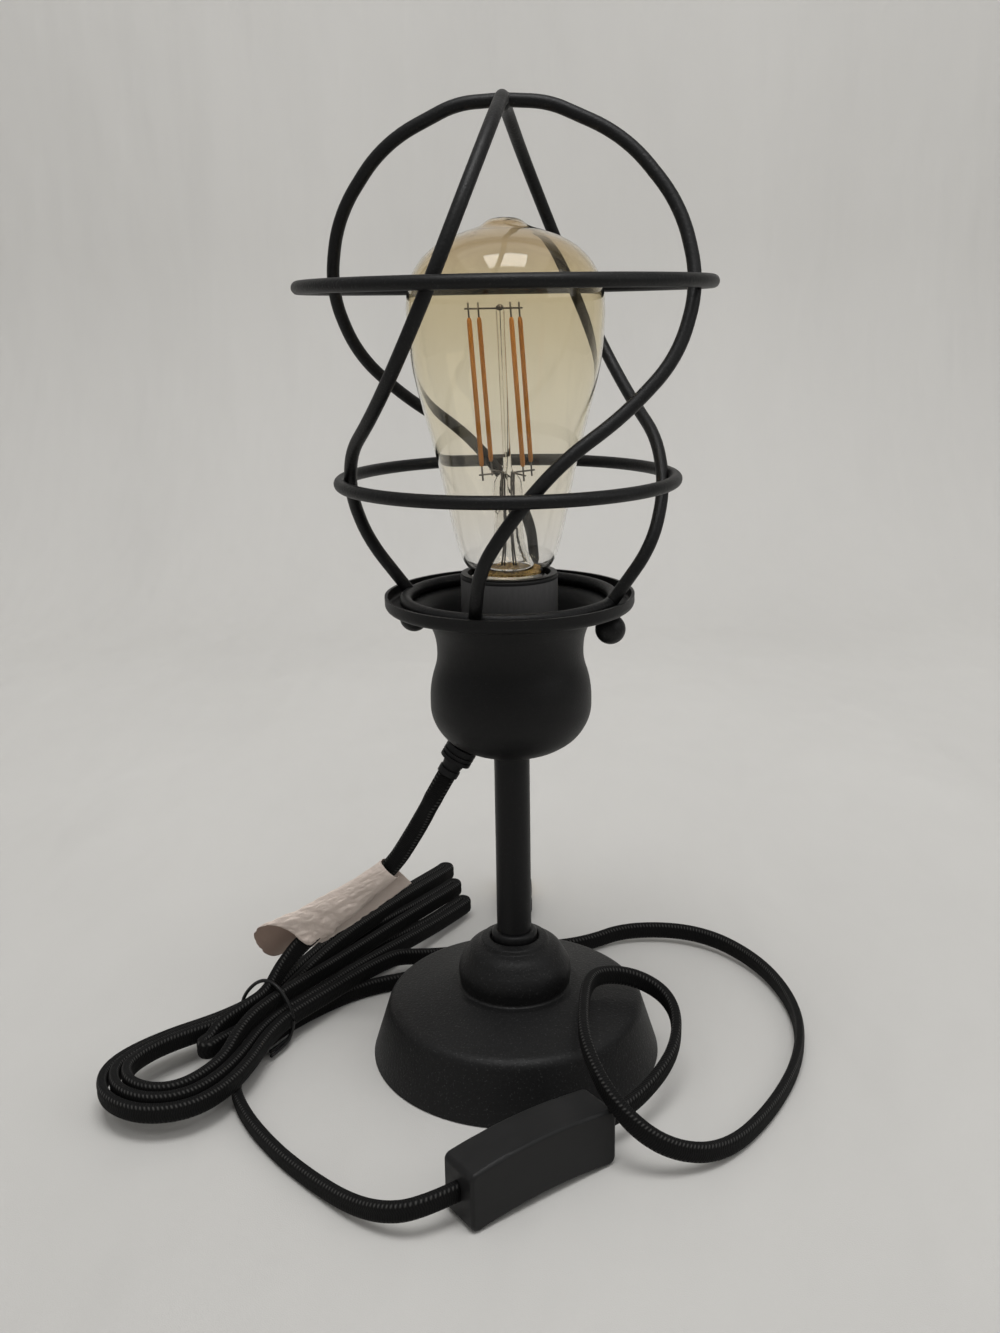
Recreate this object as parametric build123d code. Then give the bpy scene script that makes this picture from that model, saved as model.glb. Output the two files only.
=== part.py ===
from build123d import *
import os
from math import cos, pi, radians, sin, tan

os.makedirs("parts", exist_ok=True)

# Base: a spun steel foot with a dome, a cast weight and a soft pad under it
base_bottom_r = 53.6
base_shoulder_r = 46.9
base_shoulder_z = 21.6
base_shoulder_round = 4.5
base_top_r = 23.4
base_top_z = 26.8
base_valley_round = 1.8
dome_foot_r = 20.3
dome_foot_z = 27.0
dome_foot_round = 0.9
dome_r = 21.3
dome_side_z = 34.5
dome_side_round = 9.0
dome_crown_r = 16.6
dome_crown_z = 42.2
dome_crown_round = 6.5
dome_step_r = 13.0
dome_step_z = 43.7
dome_step_round = 0.7
dome_rim_r = 12.3
dome_rim_z = 45.2
dome_rim_round = 0.9
recess_r = 9.0
recess_z = 46.1
recess_round = 0.8
recess_seat_r = 8.8
seat_z = 44.0
seat_round = 0.4
base_wall = 1.2
pad_proud = 0.4
pad_thick = 1.8
pad_gap = 0.6
weight_gap = 0.4
weight_top_z = 24.0
weight_bore_r = 11.5
weight_bore_deep = 7.0
weight_chamfer = 4.5

# Column: a plain tube over a threaded rod, with a collar at its foot
column_r = 6.35
column_wall = 1.0
column_top_z = 119.2
collar_r = 8.4
collar_tall = 4.6
collar_round = 1.5
slip_fit = 0.1
rod_r = 4.75
rod_hole_gap = 0.35
rod_low_z = 3.2
rod_rise = 10.0
nut_r = 8.0
nut_tall = 4.0
washer_r = 10.0
cup_washer_r = 8.6
washer_thick = 1.2

# Cup: a spun bell whose dished rim carries the cage
cup_floor_margin = 6.8
cup_floor_round = 16.2
cup_bowl_out = 8.6
cup_bowl_rise = 5.5
cup_bowl_round = 16.2
cup_belly_out = 4.3
cup_belly_low = 13.1
cup_belly_low_round = 15.2
cup_belly_high = 24.8
cup_belly_high_round = 33.0
cup_neck_in = 2.9
cup_neck_low = 33.3
cup_neck_low_round = 17.0
cup_flare = 0.2
cup_neck_high = 41.3
cup_neck_high_round = 19.0
tray_step = 4.4
tray_rise = 51.8
tray_inner_round = 5.5
ring_inset = 5.7
ring_margin = 7.2
tray_round = 2.2
lip_tall = 4.8
cup_wall = 1.0

# Cage: four bent wires welded to two hoops and a foot ring
wire_d = 4.3
lower_hoop_r = 56.05
lower_hoop_rise = 43.8
upper_hoop_r = 66.4
upper_hoop_rise = 62.4
cage_top_rise = 55.1
wire_turns = [0.0, 87.5, 180.5, 272.1]
wire_upper_shares = [
    (0.0256, 1.0036),
    (0.2327, 0.9902),
    (0.6185, 0.7942),
    (0.9060, 0.4100),
    (1.0262, -0.0145),
]
wire_middle_shares = [(0.9989, 0.6402)]
wire_lower_shares = [(1.0703, 0.3814), (1.0342, 0.1795)]
wire_foot_shares = [(1.0187, 0.8962)]
wire_end_shares = [(1.3709, 0.4721), (1.0266, 0.0167)]
wire_corner_turn = [-2.4, -2.4, -7.2, -14.0, -21.7, -33.1, -50.4, -72.3, -87.8, -100.8, -107.8]
cap_ball_r = 3.1
stud_r = 2.0
stud_hole_r = 2.4
stud_turns = [-18.1, 161.9]
stud_tip = 2.5
ball_r = 5.15
ball_drop = 6.1
ball_neck_r = 3.3
ball_top_gap = 0.5
ball_bore_r = 2.35
ball_bore_low = 0.6

# Socket: a dark moulded body in a plain grey sleeve on a metal cap
socket_rise = 63.8
socket_r = 16.35
socket_tall = 50.0
socket_body_r = 15.5
socket_rim_tall = 3.6
socket_bore_r = 14.3
socket_well_r = 10.4
socket_well_floor = 21.6
sleeve_r = 16.15
sleeve_gap = 0.1
sleeve_tall = 39.0
shell_r = 13.95
shell_wall = 0.5
shell_low = 26.5
shell_tall = 21.5
tongue_r = 4.0
tongue_thick = 1.0
socket_cap_r = 12.0
socket_cap_tall = 7.2
terminal_r = 2.6
terminal_tall = 2.0

# Bulb: a clear tapered glass with a screw cap and four upright filaments
bulb_depth = 25.8
bulb_contact_r = 4.4
bulb_contact_tall = 1.0
bulb_isolator_tall = 2.6
bulb_isolator_r = 6.0
bulb_cap_r = 13.0
bulb_cap_wall = 0.4
bulb_cap_tall = 20.6
glass_wall = 0.8
glass_fit = 0.4
glass_bite = 2.7
glass_r = 32.0
glass_tall = 119.1
glass_neck_share = 0.0327
glass_r_shares = [0.5, 0.6031, 0.7281, 0.9781, 1.0188, 0.7688, 0.2813, 0.2125, 0]
glass_z_shares = [0.0714, 0.1763, 0.3526, 0.6129, 0.8212, 0.9328, 0.9782, 1.0, 1.0]
glass_reach_shares = [0.277, 0.258, 0.149, 0.113, 0.243, 0.345, 0.409, 0.209, 0.218]
disc_gap = 0.4
disc_rise = 4.7
disc_thick = 0.8
stem_gap = 0.2
stem_foot_r = 8.6
stem_tall = 85.8
stem_r_shares = [1.0, 0.9767, 0.4186, 0.3488, 0.3023, 0.1279, 0.1047]
stem_z_shares = [0, 0.021, 0.1492, 0.2657, 0.3531, 0.3881, 1.0]
filament_count = 4
filament_ring_r = 11.2
filament_r = 0.95
filament_rise = 35.3
filament_long = 47.5
filament_turn = 32.8
arm_wide = 0.9
arm_hub_r = 2.4

# Cord gland on the underside of the cup
gland_turn = 180.0
gland_slope = 60.0
gland_out = 17.0
gland_seat = 1.3
gland_shank_r = 4.2
gland_flange_r = 5.75
gland_flange_low = 0.8
gland_flange_thick = 5.6
gland_groove_deep = 0.55
gland_groove_wide = 0.8
gland_groove_step = 1.7
gland_groove_count = 2
gland_inner_flange_r = 5.0
gland_inner_flange_thick = 1.6
gland_inner_gap = 1.5
gland_body_r = 4.1
gland_body_long = 3.6
gland_tip_r = 3.9
gland_tip_long = 2.4
gland_hole_gap = 0.25

# Cord: a flat braided pair, drawn as a round tube of the same section
cord_d = 5.0
cord_reach_share = 0.45
gland_straight = 10.0
lead_route = [
    (-32.0, 4.0, 92.6),
    (-37.7, 7.4, 81.8),
    (-45.2, 11.2, 69.0),
    (-62.8, 16.5, 50.6),
    (-81.8, 20.0, 34.4),
    (-91.2, 16.9, 26.0),
    (-96.5, 7.9, 21.9),
    (-102.0, -0.5, 20.4),
]
lead_straight = 5.0
hank_place = (-97.0, 7.0)
hank_turn = 58.5
hank_bow_share = 0.062
hank_left_centre = 51.0
hank_left_half = 11.5
hank_left_z = 11.0
hank_left_slope_share = 0.043
hank_pitch = 6.0
hank_fold_half = 3.7
hank_start = (-22.0, -2.0, 17.6)
hank_turn_back = (-33.0, 1.2, 14.9)
hank_folds = [(134.5, 0.0, 15.4), (126.5, 9.4, 9.8), (122.0, 14.8, 4.2)]
hank_near_routes = [
    [(-18.0, 4.0, 15.5), (-5.0, 2.9, 16.3), (42.0, 3.3, 17.2), (92.0, 3.7, 16.6)],
    [(-36.0, 11.2, 12.5), (-5.0, 7.4, 12.3), (42.0, 8.8, 11.6), (92.0, 11.3, 10.8)],
    [(-36.0, 17.2, 12.3), (-5.0, 12.3, 8.9), (48.0, 13.6, 8.9), (92.0, 16.4, 5.2)],
    [(-36.0, 23.1, 12.5), (-5.0, 18.2, 9.8), (24.0, 19.4, 9.2)],
]
hank_far_routes = [
    [(92.0, -3.7, 16.6), (42.0, -3.3, 17.2), (-5.0, -2.8, 16.3), (-36.0, -10.9, 12.7)],
    [(92.0, 2.6, 10.8), (42.0, -2.8, 11.3), (-5.0, -7.5, 12.2), (-36.0, -17.0, 12.5)],
    [(92.0, 6.6, 4.8), (58.0, -2.6, 5.4), (-5.0, -12.6, 8.2), (-36.0, -23.1, 12.5)],
]
feed_straight = 14.0
octagon_share = 0.4142
switch_feed_route = [
    (-53.5, 42.5, 8.9),
    (-44.5, 48.5, 7.0),
    (-35.0, 54.8, 5.2),
    (-25.0, 63.2, 4.0),
    (-12.0, 70.5, 3.6),
    (8.0, 75.4, 3.6),
    (32.0, 79.0, 4.2),
    (53.5, 86.2, 5.8),
    (82.0, 77.2, 5.8),
    (102.8, 51.0, 4.8),
    (110.4, 16.0, 3.9),
    (104.6, -17.0, 3.4),
    (87.5, -49.5, 3.4),
    (67.0, -74.0, 4.4),
    (46.5, -80.5, 11.2),
    (30.6, -75.8, 24.2),
    (22.6, -55.0, 33.0),
    (23.4, -34.0, 34.4),
    (26.6, -12.0, 33.4),
    (34.8, -4.3, 31.6),
    (45.8, -3.5, 29.0),
    (54.9, -9.7, 26.0),
    (58.3, -20.2, 22.8),
    (55.9, -34.0, 18.6),
    (48.5, -46.4, 14.8),
]
plug_feed_route = [
    (-37.7, -106.0, 8.8),
    (-50.2, -98.5, 5.5),
    (-64.5, -84.8, 3.6),
    (-80.0, -68.5, 3.4),
    (-94.0, -48.5, 3.4),
    (-102.2, -28.5, 3.4),
    (-99.0, -9.0, 3.2),
    (-89.5, 9.0, 3.2),
    (-78.0, 22.4, 3.2),
    (-67.0, 32.6, 3.2),
    (-56.0, 39.2, 3.2),
    (-45.5, 42.8, 3.2),
    (-37.0, 47.0, 3.4),
    (-28.6, 51.9, 3.8),
    (-20.4, 57.6, 5.0),
    (-12.4, 64.2, 7.6),
    (-5.6, 71.0, 9.8),
    (-0.6, 78.4, 9.2),
]
plug_straight = 8.0

# Tie and blank paper tag on the cord
tie_d = 1.6
tie_u = 2.0
tie_step_u = 2.4
tie_round = 3.0
tie_tail = 9.0
tie_route = [
    (21.8, 5.6),
    (21.9, 11.8),
    (2.4, 25.3),
    (-2.4, 25.3),
    (-14.9, 10.2),
    (-14.9, 4.2),
    (-9.5, 4.2),
    (1.8, 7.2),
    (7.2, 7.0),
    (12.2, 5.0),
    (21.8, 5.6),
]
tag_wall = 0.4
tag_grip = 0.1
tag_grip_from_share = 0.02
tag_grip_to_share = 0.55
tag_mouth = (-91.4, 19.4, 35.2)
tag_mouth_axis = (-0.76, 0.1, -0.62)
tag_mouth_r = 9.2

# Hand switch lying on its side in the cord
switch_long = 57.0
switch_wide = 15.5
switch_tall = 20.5
switch_arch = 2.3
switch_corner = 2.6
switch_edge_round = 1.2
switch_wall = 1.7
switch_centre = (4.5, -82.5)
switch_turn = 36.0
switch_cord_z = 11.4
switch_straight = 10.5
window_long = 17.0
window_tall = 10.6
window_z = 12.6
rocker_gap = 0.5
rocker_proud = 1.5
rocker_deep = 4.6
rocker_dip = 0.9
rocker_tilt = 7.0
pivot_in = 1.3
pin_r = 1.1
pin_gap = 0.35
pin_bite = 0.9
lug_long = 5.0
lug_deep = 4.2
lug_tall = 1.6
boss_r = 3.0
boss_out = 21.0
screw_r = 1.3
screw_gap = 0.1
screw_head_r = 2.3
screw_head_tall = 1.3
screw_long = 9.5
contact_long = 7.0
contact_thick = 0.8
contact_tall = 5.0
contact_out = 13.5

# Two-blade plug behind the base
plug_entry = (1.0, 94.0, 6.0)
plug_turn = 90.0
plug_relief_long = 9.0
plug_relief_r = 3.1
plug_relief_wide_r = 4.6
plug_long = 23.0
plug_wide = 16.6
plug_tall = 12.0
plug_round = 2.4
blade_long = 17.0
blade_thick = 1.5
blade_tall = 6.35
blade_tall_wide = 7.9
blade_apart = 12.0
blade_root = 3.0


def shifted(points, wall):
    """The polyline moved to its left by the wall, with mitred corners."""
    runs = list(zip(points, points[1:]))
    lines = []
    for (r0, z0), (r1, z1) in runs:
        long = ((r1 - r0) ** 2 + (z1 - z0) ** 2) ** 0.5
        across = (-(z1 - z0) / long * wall, (r1 - r0) / long * wall)
        lines.append(((r0 + across[0], z0 + across[1]), (r1 + across[0], z1 + across[1])))
    moved = [lines[0][0]]
    for ((ax, ay), (bx, by)), ((cx, cy), (dx, dy)) in zip(lines, lines[1:]):
        ux, uy, vx, vy = bx - ax, by - ay, dx - cx, dy - cy
        along = ((cx - ax) * vy - (cy - ay) * vx) / (ux * vy - uy * vx)
        moved.append((ax + ux * along, ay + uy * along))
    return moved + [lines[-1][1]]


def rounded(points, rounds):
    """Straight runs joined by tangent arcs, one arc for each inner corner."""
    corners = [Vector(*p) for p in points]
    edges = []
    here = corners[0]
    for before, at, after, radius in zip(corners, corners[1:], corners[2:], rounds):
        into = (at - before).normalized()
        out = (after - at).normalized()
        half = radians(into.get_angle(out)) / 2
        reach = radius * tan(half)
        inward = (out - into).normalized()
        start = at - into * reach
        stop = at + out * reach
        middle = at + inward * (radius / cos(half) - radius)
        if (start - here).length > slip_fit * slip_fit:
            edges.append(Line(here, start))
        edges.append(ThreePointArc(start, middle, stop))
        here = stop
    edges.append(Line(here, corners[-1]))
    return edges


def sheet_turned(points, rounds, wall):
    """A thin turned shell: the profile, its inner copy and both end edges."""
    inner = shifted(points, wall)
    inner_rounds = []
    for before, at, after, radius in zip(points, points[1:], points[2:], rounds):
        bend = (at[0] - before[0]) * (after[1] - at[1]) - (at[1] - before[1]) * (after[0] - at[0])
        inner_rounds.append(max(radius - wall, slip_fit) if bend > 0 else radius + wall)
    outside = rounded([(r, 0, z) for r, z in points], rounds)
    inside = rounded([(r, 0, z) for r, z in inner], inner_rounds)
    ends = [
        Line((points[0][0], 0, points[0][1]), (inner[0][0], 0, inner[0][1])),
        Line((points[-1][0], 0, points[-1][1]), (inner[-1][0], 0, inner[-1][1])),
    ]
    return revolve(make_face(outside + inside + ends), Axis.Z)


def turned(points):
    """A solid of revolution from corner points given as radius and height."""
    return revolve(make_face(Polyline([(r, 0, z) for r, z in points], close=True)), Axis.Z)


def ring_block(inner_r, outer_r, low, high):
    return turned([(inner_r, low), (outer_r, low), (outer_r, high), (inner_r, high)])


def reach_rounds(points, shares):
    """The radius at each corner of an outline, from its shorter run and a share."""
    corners = [Vector(*p) for p in points]
    rounds = []
    for before, at, after, share in zip(corners, corners[1:], corners[2:], shares):
        into = at - before
        out = after - at
        half = radians(into.get_angle(out)) / 2
        rounds.append(share * min(into.length, out.length) / tan(half))
    return rounds


def cord_rounds(points):
    return reach_rounds(points, [cord_reach_share] * len(points))


def tube(points, rounds, diameter):
    path = Wire(rounded(points, rounds))
    start = Plane(origin=path @ 0, z_dir=path % 0)
    solid = sweep(start * Circle(diameter / 2), path=path)
    section = pi * diameter**2 / 4
    filled = solid.volume / section / path.length
    print(f"tube {path.length:.1f} long, tightest {min(rounds):.1f}, filled {filled:.4f}")
    return solid


def least_gap(points, rounds, diameter):
    """The least free gap between stretches of one tube that are not neighbours."""
    path = Wire(rounded(points, rounds))
    count = int(path.length / diameter * 2)
    spots = [path @ (i / count) for i in range(count + 1)]
    apart = [
        (a - b).length
        for i, a in enumerate(spots)
        for b in spots[i + 8 :]
    ]
    return min(apart) - diameter


def spin(r, turn, z):
    return (r * cos(radians(turn)), r * sin(radians(turn)), z)


# Base shell, weight, pad and fixings
base_profile = [
    (base_bottom_r, pad_proud),
    (base_shoulder_r, base_shoulder_z),
    (base_top_r, base_top_z),
    (dome_foot_r, dome_foot_z),
    (dome_r, dome_side_z),
    (dome_crown_r, dome_crown_z),
    (dome_step_r, dome_step_z),
    (dome_rim_r, dome_rim_z),
    (recess_r, recess_z),
    (recess_seat_r, seat_z),
    (rod_r + rod_hole_gap, seat_z),
]
base_rounds = [
    base_shoulder_round,
    base_valley_round,
    dome_foot_round,
    dome_side_round,
    dome_crown_round,
    dome_step_round,
    dome_rim_round,
    recess_round,
    seat_round,
]
base_shell = sheet_turned(base_profile, base_rounds, base_wall)
pad_r = base_bottom_r - base_wall - pad_gap - pad_thick * (base_bottom_r - base_shoulder_r) / base_shoulder_z
base_pad = ring_block(weight_bore_r, pad_r, 0, pad_thick)
hollow = shifted(base_profile[:4], base_wall + weight_gap)
skirt_lean = (hollow[0][0] - hollow[1][0]) / (hollow[1][1] - hollow[0][1])
weight_low_r = hollow[0][0] - skirt_lean * (pad_thick - hollow[0][1])
top_lean = (hollow[1][0] - hollow[2][0]) / (hollow[2][1] - hollow[1][1])
weight_neck_r = hollow[1][0] - top_lean * (weight_top_z - hollow[1][1])
rod_bore_r = rod_r + rod_hole_gap
bore_top_z = pad_thick + weight_bore_deep
base_weight = turned(
    [
        (weight_bore_r, pad_thick),
        (weight_low_r, pad_thick),
        (hollow[1][0] + skirt_lean * weight_chamfer, hollow[1][1] - weight_chamfer),
        (hollow[1][0] - weight_chamfer, hollow[1][1] + weight_chamfer / top_lean),
        (weight_neck_r, weight_top_z),
        (rod_bore_r, weight_top_z),
        (rod_bore_r, bore_top_z),
        (weight_bore_r, bore_top_z),
    ]
)
washer_low_z = bore_top_z - washer_thick
base_washer = ring_block(rod_bore_r, washer_r, washer_low_z, bore_top_z)


def hex_nut(low):
    blank = RegularPolygon(nut_r, 6) - Circle(rod_r + slip_fit)
    return extrude(Plane.XY.offset(low) * blank, nut_tall)


base_nut = hex_nut(washer_low_z - nut_tall)

# Column, collar and threaded rod
column_tube = ring_block(column_r - column_wall, column_r, seat_z, column_top_z)
collar_in_r = column_r + slip_fit
collar_high = seat_z + collar_tall
collar_corners = [(collar_r, 0, seat_z), (collar_r, 0, collar_high), (collar_in_r, 0, collar_high)]
collar_face = make_face(
    rounded(collar_corners, [collar_round])
    + [
        Line((collar_in_r, 0, collar_high), (collar_in_r, 0, seat_z)),
        Line((collar_in_r, 0, seat_z), (collar_r, 0, seat_z)),
    ]
)
foot_collar = revolve(collar_face, Axis.Z)
threaded_rod = Pos(0, 0, rod_low_z) * Cylinder(
    rod_r, column_top_z + rod_rise - rod_low_z, align=(Align.CENTER, Align.CENTER, Align.MIN)
)

# Cup with its dished rim
cup_floor_r = cup_washer_r + cup_floor_margin
cup_bowl_r = cup_floor_r + cup_bowl_out
cup_belly_r = cup_bowl_r + cup_belly_out
cup_neck_r = cup_belly_r - cup_neck_in
cup_flare_r = cup_neck_r + cup_flare
tray_inner_r = cup_flare_r + tray_step
foot_ring_r = tray_inner_r + ring_inset
tray_r = foot_ring_r + ring_margin
cup_profile = [
    (rod_bore_r, column_top_z),
    (cup_floor_r, column_top_z),
    (cup_bowl_r, column_top_z + cup_bowl_rise),
    (cup_belly_r, column_top_z + cup_belly_low),
    (cup_belly_r, column_top_z + cup_belly_high),
    (cup_neck_r, column_top_z + cup_neck_low),
    (cup_flare_r, column_top_z + cup_neck_high),
    (tray_inner_r, column_top_z + tray_rise),
    (tray_r, column_top_z + tray_rise),
    (tray_r, column_top_z + tray_rise + lip_tall),
]
cup_rounds = [
    cup_floor_round,
    cup_bowl_round,
    cup_belly_low_round,
    cup_belly_high_round,
    cup_neck_low_round,
    cup_neck_high_round,
    tray_inner_round,
    tray_round,
]
tray_z = column_top_z + tray_rise
tray_top_z = tray_z + cup_wall
socket_cup = sheet_turned(cup_profile, cup_rounds, cup_wall)

# Cord gland seated in the slope of the cup
gland_way = Vector(
    cos(radians(gland_slope)) * cos(radians(gland_turn)),
    cos(radians(gland_slope)) * sin(radians(gland_turn)),
    -sin(radians(gland_slope)),
)
gland_spot = Vector(*spin(gland_out, gland_turn, column_top_z + gland_seat))
gland_frame = Plane(origin=gland_spot, z_dir=gland_way)
gland_shank_low = -cup_wall - gland_inner_gap - gland_inner_flange_thick
gland_flange_high = gland_flange_low + gland_flange_thick
gland_neck_end = gland_flange_high + gland_body_long
gland_body_end = gland_neck_end + gland_tip_long
gland_points = [
    (0, gland_shank_low),
    (gland_inner_flange_r, gland_shank_low),
    (gland_inner_flange_r, gland_shank_low + gland_inner_flange_thick),
    (gland_shank_r, gland_shank_low + gland_inner_flange_thick),
    (gland_shank_r, gland_flange_low),
    (gland_flange_r, gland_flange_low),
    (gland_flange_r, gland_flange_high),
    (gland_body_r, gland_flange_high),
    (gland_tip_r - gland_groove_deep, gland_neck_end),
    (gland_tip_r, gland_neck_end),
    (gland_tip_r, gland_body_end),
    (0, gland_body_end),
]
gland_plain = turned(gland_points)
for i in range(gland_groove_count):
    groove_low = gland_flange_low + gland_groove_step * (i + 1)
    groove_r = gland_flange_r - gland_groove_deep
    gland_plain -= ring_block(groove_r, gland_flange_r, groove_low, groove_low + gland_groove_wide)
cord_gland = gland_frame * gland_plain
gland_hole = gland_frame * Cylinder(gland_shank_r + gland_hole_gap, gland_body_end)
socket_cup -= gland_hole
stud_hole = Cylinder(stud_hole_r, tray_round + tray_round)
for turn in stud_turns:
    socket_cup -= Pos(*spin(foot_ring_r, turn, tray_z)) * stud_hole
cup_floor_z = column_top_z + cup_wall
cup_washer = ring_block(rod_bore_r, cup_washer_r, cup_floor_z, cup_floor_z + washer_thick)
cup_nut = hex_nut(cup_floor_z + washer_thick)

# Cage
foot_ring_z = tray_top_z + wire_d / 2
lower_hoop_z = tray_z + lower_hoop_rise
upper_hoop_z = lower_hoop_z + upper_hoop_rise
upper_seat_r = upper_hoop_r - wire_d
lower_seat_r = lower_hoop_r - wire_d
foot_rise = lower_hoop_z - foot_ring_z
cage_foot_ring = Pos(0, 0, foot_ring_z) * Torus(foot_ring_r, wire_d / 2)
cage_lower_hoop = Pos(0, 0, lower_hoop_z) * Torus(lower_hoop_r, wire_d / 2)
cage_upper_hoop = Pos(0, 0, upper_hoop_z) * Torus(upper_hoop_r, wire_d / 2)
wire_rz = [(upper_seat_r * r, upper_hoop_z + cage_top_rise * z) for r, z in wire_upper_shares]
wire_rz += [(upper_seat_r * r, lower_hoop_z + upper_hoop_rise * z) for r, z in wire_middle_shares]
wire_rz += [(lower_seat_r * r, lower_hoop_z + upper_hoop_rise * z) for r, z in wire_lower_shares]
wire_rz += [(lower_seat_r * r, foot_ring_z + foot_rise * z) for r, z in wire_foot_shares]
wire_rz += [(foot_ring_r * r, foot_ring_z + foot_rise * z) for r, z in wire_end_shares]
wire_corners = [spin(r, turn, z) for (r, z), turn in zip(wire_rz, wire_corner_turn)]
wire_rounds = cord_rounds(wire_corners)
first_wire = tube(wire_corners, wire_rounds, wire_d)
cage_wires = [first_wire.rotate(Axis.Z, turn) for turn in wire_turns]
cage_top_weld = Pos(0, 0, upper_hoop_z + cage_top_rise) * Sphere(cap_ball_r)
ball_z = tray_z - ball_drop
stud_low_z = ball_z - stud_tip
cage_studs = []
ball_nuts = []
for turn in stud_turns:
    at = spin(foot_ring_r, turn, 0)
    post = ring_block(0, stud_r, stud_low_z, foot_ring_z)
    cage_studs.append(Pos(*at) * post)
    ball = Pos(0, 0, ball_z) * Sphere(ball_r)
    ball += ring_block(0, ball_neck_r, ball_z, tray_z - ball_top_gap)
    ball -= ring_block(0, ball_bore_r, stud_low_z - ball_bore_low, tray_z)
    ball_nuts.append(Pos(*at) * ball)

# Socket
socket_top_z = column_top_z + socket_rise
socket_low_z = socket_top_z - socket_tall
rim_low_z = socket_top_z - socket_rim_tall
shell_low_z = socket_low_z + shell_low
shelf_z = shell_low_z - shell_wall
well_z = socket_low_z + socket_well_floor
socket_body = turned(
    [
        (0, socket_low_z),
        (socket_body_r, socket_low_z),
        (socket_body_r, rim_low_z),
        (socket_r, rim_low_z),
        (socket_r, socket_top_z),
        (socket_bore_r, socket_top_z),
        (socket_bore_r, shelf_z),
        (socket_well_r, shelf_z),
        (socket_well_r, well_z),
        (0, well_z),
    ]
)
socket_sleeve = ring_block(socket_body_r + sleeve_gap, sleeve_r, rim_low_z - sleeve_tall, rim_low_z)
screw_shell = turned(
    [
        (socket_well_r, shelf_z),
        (shell_r, shelf_z),
        (shell_r, shell_low_z + shell_tall),
        (shell_r - shell_wall, shell_low_z + shell_tall),
        (shell_r - shell_wall, shell_low_z),
        (socket_well_r, shell_low_z),
    ]
)
centre_contact = ring_block(0, tongue_r, well_z, well_z + tongue_thick)
socket_cap = ring_block(rod_r + slip_fit, socket_cap_r, socket_low_z - socket_cap_tall, socket_low_z)
terminal_screws = Compound(
    [
        Pos(side * (socket_cap_r + terminal_r / 2), 0, socket_low_z - terminal_tall / 2)
        * Cylinder(terminal_r / 2, terminal_tall)
        for side in (-1, 1)
    ]
)

# Bulb
bulb_contact_z = socket_top_z - bulb_depth
isolator_low_z = bulb_contact_z + bulb_contact_tall
cap_low_z = isolator_low_z + bulb_isolator_tall
cap_in_r = bulb_cap_r - bulb_cap_wall
glass_low_z = cap_low_z + bulb_cap_tall - glass_bite
glass_neck_r = cap_in_r - glass_fit
bulb_profile = [(glass_neck_r, glass_low_z), (glass_neck_r, glass_low_z + glass_tall * glass_neck_share)]
bulb_profile += [
    (glass_r * r, glass_low_z + glass_tall * z) for r, z in zip(glass_r_shares, glass_z_shares)
]
glass_rounds = reach_rounds([(r, 0, z) for r, z in bulb_profile], glass_reach_shares)
glass_inner = shifted(bulb_profile, glass_wall)
glass_inner[-1] = (0, glass_inner[-1][1])
inner_glass_rounds = []
for before, at, after, radius in zip(bulb_profile, bulb_profile[1:], bulb_profile[2:], glass_rounds):
    bend = (at[0] - before[0]) * (after[1] - at[1]) - (at[1] - before[1]) * (after[0] - at[0])
    inner_glass_rounds.append(max(radius - glass_wall, slip_fit) if bend > 0 else radius + glass_wall)
glass_face = make_face(
    rounded([(r, 0, z) for r, z in bulb_profile], glass_rounds)
    + rounded([(r, 0, z) for r, z in glass_inner], inner_glass_rounds)
    + [
        Line((bulb_profile[0][0], 0, bulb_profile[0][1]), (glass_inner[0][0], 0, glass_inner[0][1])),
        Line((0, 0, bulb_profile[-1][1]), (0, 0, glass_inner[-1][1])),
    ]
)
bulb_glass = revolve(glass_face, Axis.Z)
bulb_contact = ring_block(0, bulb_contact_r, bulb_contact_z, isolator_low_z)
bulb_isolator = turned(
    [(0, isolator_low_z), (bulb_isolator_r, isolator_low_z), (cap_in_r, cap_low_z), (0, cap_low_z)]
)
bulb_cap = ring_block(cap_in_r, bulb_cap_r, cap_low_z, cap_low_z + bulb_cap_tall)
bulb_cap += ring_block(0, bulb_cap_r, cap_low_z, cap_low_z + bulb_cap_wall)
disc_low_z = glass_low_z + disc_rise
disc_r = glass_neck_r - glass_wall - disc_gap
bulb_disc = ring_block(0, disc_r, disc_low_z, disc_low_z + disc_thick)
stem_low_z = disc_low_z + disc_thick + stem_gap
stem_points = [
    (stem_foot_r * r, stem_low_z + stem_tall * z) for r, z in zip(stem_r_shares, stem_z_shares)
]
bulb_stem = turned([(0, stem_low_z)] + stem_points + [(0, stem_points[-1][1])])
filament_base_z = stem_low_z + filament_rise
filament_top_z = filament_base_z + filament_long
arm_plan = Circle(arm_hub_r)
filaments = []
for i in range(filament_count):
    turn = filament_turn + 360 / filament_count * i
    at = spin(filament_ring_r, turn, 0)
    filaments.append(Pos(*at) * ring_block(0, filament_r, filament_base_z, filament_top_z))
    arm = Rectangle(filament_ring_r + filament_r, arm_wide, align=(Align.MIN, Align.CENTER))
    arm_plan += Rot(0, 0, turn) * arm
arm_plan -= Circle(stem_points[-2][0] + slip_fit)
bulb_filaments = Compound(filaments)
bulb_supports = Compound(
    [
        extrude(Plane.XY.offset(filament_base_z - arm_wide) * arm_plan, arm_wide),
        extrude(Plane.XY.offset(filament_top_z) * arm_plan, arm_wide),
    ]
)

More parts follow.
